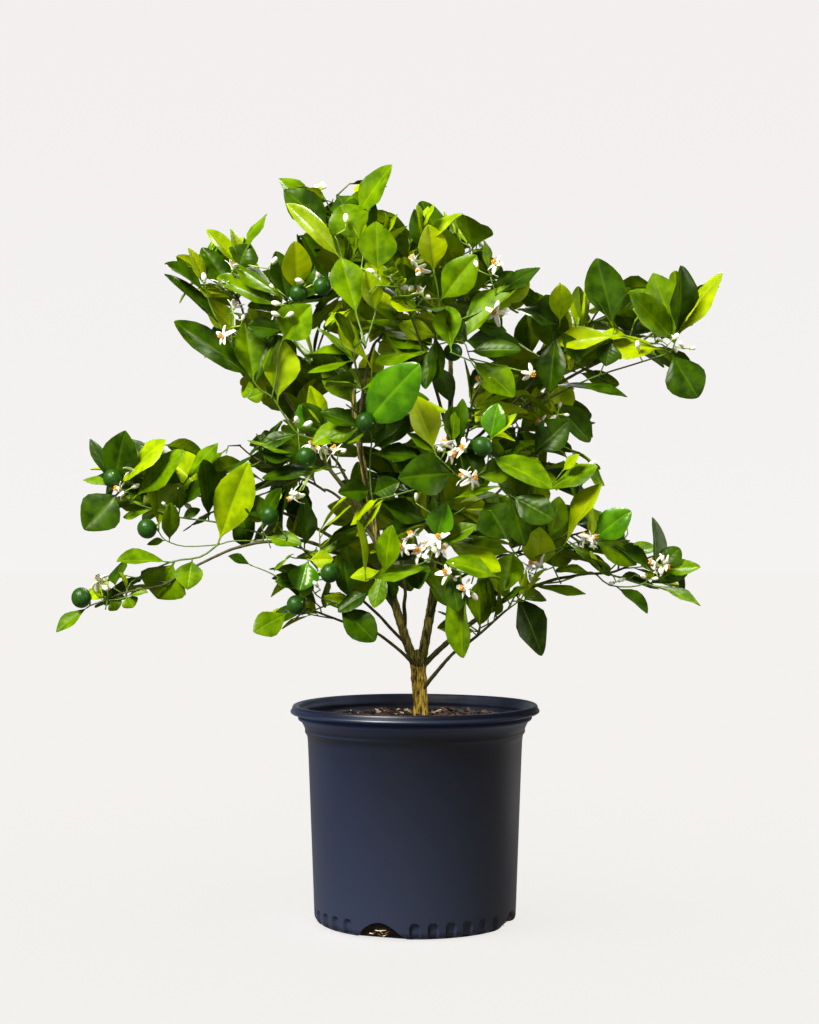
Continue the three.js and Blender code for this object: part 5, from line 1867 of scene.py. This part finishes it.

# %% [markdown]
# ## Pot
#
# The pot is blow-moulded in one piece: a slightly tapered wall, a collar with a ledge, and a rolled lip to
# carry it by, which stands a little higher at the back. The foot has four arched drains, and short flutes
# between them that stiffen it. The wall is turned from one outline, and the flutes are pressed in while it
# turns. The drains are cut afterwards, so their edges stay crisp. The inside gets a paler finish, which is
# painted light on the shaded inside wall.

# %% The pot's outline and its flutes
POT_SIDES = 576
WALL = 3.0
LOW_WALL = [(112.5 + 0.045 * z, z) for z in np.arange(8, 26, 1.2)]  # fine rows, for the flutes
PLAIN_WALL = [(113.6 + 0.0385 * (z - 26), float(z)) for z in range(30, 200, 17)]
COLLAR = [
    (120.4, 200), (120.9, 204.6), (121.6, 207.6), (122.8, 209.2), (123.6, 210.4), (123.7, 211.8),
    (123.5, 213.4), (124.3, 216), (125.6, 218.8), (127, 221.2), (128.4, 223), (130.6, 224.2), (131.6, 225.6),
    (131.2, 227.2), (129.8, 228.2), (129.4, 229.2), (130.6, 230.3), (134.6, 231), (138.2, 231.4),
    (139.6, 232.3),
]
LIP = [
    (140, 233.6), (139.5, 234.9), (138.4, 235.6), (138, 236.8), (137.8, 238.8), (137, 240), (135.6, 240.6),
    (133.4, 240.6), (131.6, 239.8), (130.6, 238.2), (130, 236.2),
]
INSIDE = [
    (129, 234.6), (127.4, 233), (126.6, 231.2), (126.8, 229.6), (128, 228.2), (128.2, 226.8), (127.2, 225),
    (125.8, 223.4), (124, 220), (121.4, 215), (119.8, 210), (118.4, 206), (117.6, 200),
    (115.6, 150), (113, 100), (110.4, 50), (108, 12), (105.5, 6), (101, WALL), (70, WALL), (30, WALL),
]
FOOT = [(30.0, 0.0), (70.0, 0.0), (98, 0), (103.5, 0.2), (107, 1.0), (109.6, 2.4), (111.4, 4.4), (112.3, 6.4)]
DRAIN_ANGLES = [math.radians(a) for a in (-110, -20, 70, 160)]  # from +X towards +Y
FLUTE_OFFSETS = [math.radians(a) for a in (20, 30, 40, 50, 60, 70)]  # from each drain on
FLUTE_HALF = math.radians(2.3)
FLUTE_TOP = 17.5
FLUTE_DEPTH = 3.2
BACK_LIFT = 3.6  # how much the lip stands higher at the back
FLUTES = [a + b for a in DRAIN_ANGLES for b in FLUTE_OFFSETS]
POT_PROFILE = FOOT + LOW_WALL + PLAIN_WALL + COLLAR + LIP + INSIDE


def flute_depth(angles, height):
    """How deep the flutes are pressed in at every angle of a row."""
    if height > FLUTE_TOP + 4:
        return np.zeros(len(angles))
    away = np.min([abs((angles - flute + math.pi) % (2 * math.pi) - math.pi) for flute in FLUTES], axis=0)
    rise = np.maximum(0, height - (FLUTE_TOP - 5)) / 5
    off = np.hypot(away / FLUTE_HALF, rise)
    return FLUTE_DEPTH * np.clip((1.25 - off) / 0.3, 0, 1)


def turned_mesh(profile, sides, shift):
    """A closed mesh turned round Z. Its profile starts and ends near the axis, and shift changes its rows."""
    angles = round_angles(sides)
    rows = []
    for radius, height in profile:
        radii, heights = shift(angles, radius, height)
        rows.append(np.column_stack([radii * np.cos(angles), radii * np.sin(angles), heights]))
    return capped(np.vstack(rows), sides, [(0, 0, profile[0][1]), (0, 0, profile[-1][1])])


def press_pot(angles, radius, height):
    """One row of the pot, with the flutes and a slightly uneven lip."""
    radii = np.full(len(angles), float(radius))
    if radius > 108 and 2 < height < 26 and (radius, height) not in INSIDE:
        radii -= flute_depth(angles, height)
    uneven = 0.35 * np.sin(2 * angles + 0.7) + 0.25 * np.sin(5 * angles)
    share = min(1.0, max(0.0, (height - 120) / 100))
    lift = BACK_LIFT * (0.5 + 0.5 * np.sin(angles)) + 0.3 * np.sin(3 * angles + 1)
    return radii + uneven * share, height + lift * share


print("the pot's outline has", len(POT_PROFILE), "points, and", len(FLUTES), "flutes go round its foot")

# %% Turn the pot and cut its drains
DRAIN_HALF = 33.0
DRAIN_RISE = 18.5
DRAIN_IN, DRAIN_OUT = 97.0, 126.0
FOOT_RADIUS = 112.0  # where a drain has its true width
PAINTED_LIGHT_INSIDE_FROM = 0.2  # metres: faces above this that look inwards belong to the inside


def drain_outline():
    """A low arch with softly flared feet, as points across and up."""
    across = np.linspace(-1, 1, 49)
    height = DRAIN_RISE * (0.5 + 0.5 * np.cos(math.pi * across)) ** 0.62
    return [(a * DRAIN_HALF, h + 0.02) for a, h in zip(across, height)]


def spoke(angle):
    """The directions outwards and sideways at an angle round the pot."""
    return np.array([math.cos(angle), math.sin(angle), 0]), np.array([-math.sin(angle), math.cos(angle), 0])


def drain_cutters():
    """One mesh with a prism for each drain."""
    points, faces = [], []
    outline = [(-DRAIN_HALF, -3.0)] + drain_outline() + [(DRAIN_HALF, -3.0)]
    n = len(outline)
    for angle in DRAIN_ANGLES:
        out, side = spoke(angle)
        base = len(points)
        for reach in (DRAIN_IN, DRAIN_OUT):
            points += [tuple(out * reach + side * a * reach / FOOT_RADIUS + UP * h) for a, h in outline]
        faces.append(tuple(base + i for i in range(n)))
        faces.append(tuple(base + n + i for i in reversed(range(n))))
        for i in range(n):
            k = (i + 1) % n
            faces.append((base + i, base + n + i, base + n + k, base + k))
    mesh = bpy.data.meshes.new("drain_cutters")
    mesh.from_pydata([tuple(c * MM for c in p) for p in points], [], faces)
    return put_in_scene("drain_cutters", mesh)


pot_pile = Pile()
pot_pile.add(*turned_mesh(POT_PROFILE, POT_SIDES, press_pot))
pot = pot_pile.piece("nursery_pot", [POT_PLASTIC, POT_INSIDE_PAINTED_LIGHT], "pot_plastic", ["pot"])
cutters = drain_cutters()
cut = pot.modifiers.new("drains", "BOOLEAN")
cut.operation, cut.solver, cut.object = "DIFFERENCE", "MANIFOLD", cutters
bpy.context.view_layer.update()
whole = bpy.data.meshes.new_from_object(pot.evaluated_get(bpy.context.evaluated_depsgraph_get()))
pot.modifiers.clear()
pot.data = whole
# Inward faces high in the pot take the paler inside finish, which is painted light.
for face in whole.polygons:
    outward = face.normal.x * face.center.x + face.normal.y * face.center.y
    face.material_index = 1 if outward < 0 and face.center.z > PAINTED_LIGHT_INSIDE_FROM else 0
whole.set_sharp_from_angle(angle=math.radians(38))
bpy.data.objects.remove(cutters)
print("pot with drains:", len(whole.vertices), "points")

# %% [markdown]
# ## Potting mix
#
# The mix is bark and peat. Its surface is a low mound with a rough grain, and loose chips lie on it: mostly
# brown, some dark, a few pale where the wood is bare. The body below is closed and shows in the drains.

# %% The body of the mix
SOIL_SIDES = 180
SOIL_EDGE = 224.0
SOIL_RADIUS = 122
SOIL_SIDE = [
    (40.0, 3.3), (90.0, 3.3), (104.6, 3.4), (107.4, 12), (109.8, 50), (112.4, 100), (115, 150), (117.2, 198),
    (118.5, 204), (120, 208), (121.2, 213), (122.6, 218),
]
GRAIN = 2.4


def mound(radius):
    """The height of the mix at a radius, without its grain."""
    return SOIL_EDGE + (SOIL_CROWN - SOIL_EDGE) * (1 - radius / SOIL_RADIUS) ** 0.7


def grain_at(x, y):
    """How far the surface of the mix rises or falls at a place."""
    coarse = noise.noise(Vector((x / 19, y / 19, 3)))
    fine = noise.noise(Vector((x / 6, y / 6, 8)))
    return GRAIN * (0.8 * coarse + 0.6 * fine)


def rough_row(angles, radius, height):
    """One row of the mix, rough on top."""
    radii = np.full(len(angles), float(radius))
    if height < SOIL_EDGE:
        return radii, np.full(len(angles), float(height))
    return radii, height + np.array([grain_at(radius * math.cos(a), radius * math.sin(a)) for a in angles])


SOIL_SLOPE = [(radius, mound(radius)) for radius in range(121, 3, -3)]
soil_pile = Pile()
soil_pile.add(*turned_mesh(SOIL_SIDE + SOIL_SLOPE, SOIL_SIDES, rough_row))
soil_pile.piece("potting_mix", [POTTING_MIX], "potting_mix", ["soil"])

# %% Chips on the mix
CHIPS = 760
CHIP_SEED = 404
PALE_SIDE = math.radians(118)  # the side where most pale chips lie
PALE_SHARES = (0.015, 0.14)  # the share of pale chips elsewhere and there
CHIP_LIFT = 0.7
ROOTS = 16  # that show in each drain

chip_draw = seeded(CHIP_SEED)
chip_pile = Pile()
CHIP_POINTS, CHIP_FACES = ball(5, 8)


def chip_shape(size, draw):
    """A rough flat chip."""
    seed = 50 * draw()
    swell = np.array([1 + 0.55 * noise.noise(Vector(p) * 1.4 + Vector((seed, 0, 0))) for p in CHIP_POINTS])
    return CHIP_POINTS * swell[:, None] * size


for number in range(CHIPS):
    angle, radius = 2 * math.pi * chip_draw(), 119 * math.sqrt(between(chip_draw, 0.02, 1.0))
    x, y = radius * math.cos(angle), radius * math.sin(angle)
    scale = between(chip_draw, 0.6, 1.35)
    size = scale * np.array([between(chip_draw, 4, 9), between(chip_draw, 2.0, 4.0), 1.6])
    axis = unit(np.array([between(chip_draw, -0.6, 0.6), between(chip_draw, -0.6, 0.6), 1.0]))
    ground = mound(radius) + grain_at(x, y)
    points = turned_to(chip_shape(size, chip_draw), axis, 6 * chip_draw()) + (x, y, ground + CHIP_LIFT)
    near_pale = math.cos(angle - PALE_SIDE) > 0.5 and radius > 25
    tone = 2 if chip_draw() < PALE_SHARES[near_pale] else int(2.2 * chip_draw()) % 2
    chip_pile.add(points, CHIP_FACES, tone)
for angle in DRAIN_ANGLES:
    out, side = spoke(angle)
    for _ in range(ROOTS):
        low = out * between(chip_draw, 104, 107) + side * between(chip_draw, -20, 20)
        low = low + UP * between(chip_draw, 5, 14)
        step = side * between(chip_draw, -14, 14) + UP * between(chip_draw, -4, 5)
        row = smooth_row(np.array([low, low + step / 2 + out * between(chip_draw, 0, 3), low + step]), 3)
        chip_pile.add(*tube(row, np.full(len(row), 0.6), 5), 2 if chip_draw() < 0.5 else 0)
chip_pile.piece("bark_chips", [CHIP_BROWN, CHIP_DARK, CHIP_PALE], "potting_mix", ["soil"])

# %% [markdown]
# ## Floor and light
#
# The plant stands on a plain pale floor that meets a pale backdrop without a line, so nothing competes with
# the leaves. The floor glows a little, like paper lit from below, which keeps the shadow under the pot faint,
# and it shows in glossy surfaces. A large softbox to the left of the camera lights everything and gives the
# leaves their gloss. Weaker ones from the front, the right and behind light the plant alone, so that the
# leaves glow at their edges while the pot stays dark. The pot has its own: long blue ones at its left, over
# its lip and behind it draw its sheen. The backdrop's light fills the rest.

# %% Floor and backdrop
FLOOR_RADIUS = 60.0
FLOOR_TONE = linear("e6e4e3")
FLOOR_SHOWN = linear("f6f4f1")
FLOOR_EDGES = 96
SHOWN_GLOW = 0.83  # how much of its tone the floor glows with to the camera
LIGHT_GLOW = 0.06  # and to the plant
FLOOR_GLOSS = 0.18  # and what shows of it in glossy surfaces
BACKDROP_LOW = linear("f5f3f2")
BACKDROP_HIGH = linear("f2efee")
FILL_LIGHT = 0.2  # what the backdrop gives off as light
GLOSS_LIGHT = 0.08  # and what shows of it in glossy surfaces


def glow_for(tree, shown, gloss, light):
    """One strength to the camera, one in glossy surfaces, and one as light on everything else."""
    path = add_node(tree, "ShaderNodeLightPath").outputs
    seen = path["Is Camera Ray"]
    unseen = maths(tree, "MULTIPLY_ADD", path["Is Glossy Ray"], gloss - light, light)
    rest = maths(tree, "MULTIPLY", unseen, maths(tree, "SUBTRACT", 1.0, seen))
    return maths(tree, "MULTIPLY_ADD", seen, shown, rest)


def make_floor():
    """A round floor, wide enough to reach the horizon."""
    mesh = bpy.data.meshes.new("floor")
    ring = [(FLOOR_RADIUS * math.cos(a), FLOOR_RADIUS * math.sin(a), 0) for a in round_angles(FLOOR_EDGES)]
    mesh.from_pydata(ring, [], [range(FLOOR_EDGES)])
    matte = {"Base Color": FLOOR_TONE, "Roughness": 0.9, "Specular IOR Level": 0.0}
    paper, tree, shader = new_material("floor_paper", {**matte, "Emission Color": FLOOR_SHOWN})
    tree.links.new(glow_for(tree, SHOWN_GLOW, FLOOR_GLOSS, LIGHT_GLOW), shader.inputs["Emission Strength"])
    mesh.materials.append(paper)
    made = put_in_scene("floor", mesh)
    return made


def make_backdrop():
    """A pale backdrop that gives a softer light than it shows."""
    world = bpy.data.worlds.new("backdrop")
    world.use_nodes = True
    bpy.context.scene.world = world
    tree = world.node_tree
    up = map_range(tree, place_parts(tree, "Generated")[2], 0.0, 0.3, 0.0, 1.0)
    background = tree.nodes["Background"]
    tree.links.new(blend_colours(tree, up, BACKDROP_LOW, BACKDROP_HIGH), background.inputs["Color"])
    tree.links.new(glow_for(tree, 1.0, GLOSS_LIGHT, FILL_LIGHT), background.inputs["Strength"])


floor = make_floor()
make_backdrop()
print("floor", FLOOR_RADIUS, "m in radius")

# %% Softboxes
# What each one lights, its place and target, its width and height, its watts and its colour.
SOFTBOXES = {
    "key": ("all", (-1.2, -1.5, 2.2), (0, 0, 0.5), 0.8, 0.8, 145, (1.0, 0.985, 0.95)),
    "front": ("plant", (0.4, -2.6, 0.9), (0, 0, 0.5), 1.0, 1.6, 9, (1.0, 1.0, 1.0)),
    "right": ("plant", (2.1, -0.5, 1.3), (0, 0, 0.5), 0.9, 1.6, 38, (1.0, 0.98, 0.94)),
    "back": ("plant", (0.4, 1.5, 2.3), (0, 0, 0.6), 1.2, 0.9, 74, (1.0, 0.99, 0.95)),
    "sheen_left": ("pot", (-1.8, 0.0, 0.25), (0, 0, 0.1), 3.4, 0.5, 9, (0.27, 0.45, 1.0)),
    "sheen_right": ("pot", (1.0, 0.4, 0.004), (1.0, 0.35, 1.0), 1.0, 1.0, 1, (1.0, 0.92, 1.0)),
    "rim": ("pot", (-1.1, -1.3, 1.9), (0, 0, 0.24), 1.3, 0.2, 20, (0.55, 0.72, 1.0)),
    "edge": ("pot", (-0.3, 2.2, 0.6), (0, 0, 0.24), 2.6, 0.6, 3, (0.8, 0.88, 1.0)),
}
PIECES = [piece for piece in bpy.context.scene.objects if piece.type == "MESH" and piece is not floor]
LIT = {"all": PIECES, "plant": [piece for piece in PIECES if piece is not pot], "pot": [pot]}
for name, lit_pieces in LIT.items():
    group = bpy.data.collections.new(name)
    bpy.context.scene.collection.children.link(group)
    for made in lit_pieces:
        group.objects.link(made)

for name, (lit, place, target, width, height, watts, colour) in SOFTBOXES.items():
    light = bpy.data.lights.new(name, "AREA")
    light.shape, light.size, light.size_y = "RECTANGLE", width, height
    light.energy, light.color = watts, colour
    box = put_in_scene(name, light)
    box.location = place
    box.rotation_euler = (Vector(target) - Vector(place)).to_track_quat("-Z", "Y").to_euler()
    box.visible_camera = False
    box.light_linking.receiver_collection = bpy.data.collections[lit]
bpy.context.scene.view_settings.view_transform = "Standard"
print(len(SOFTBOXES), "softboxes")
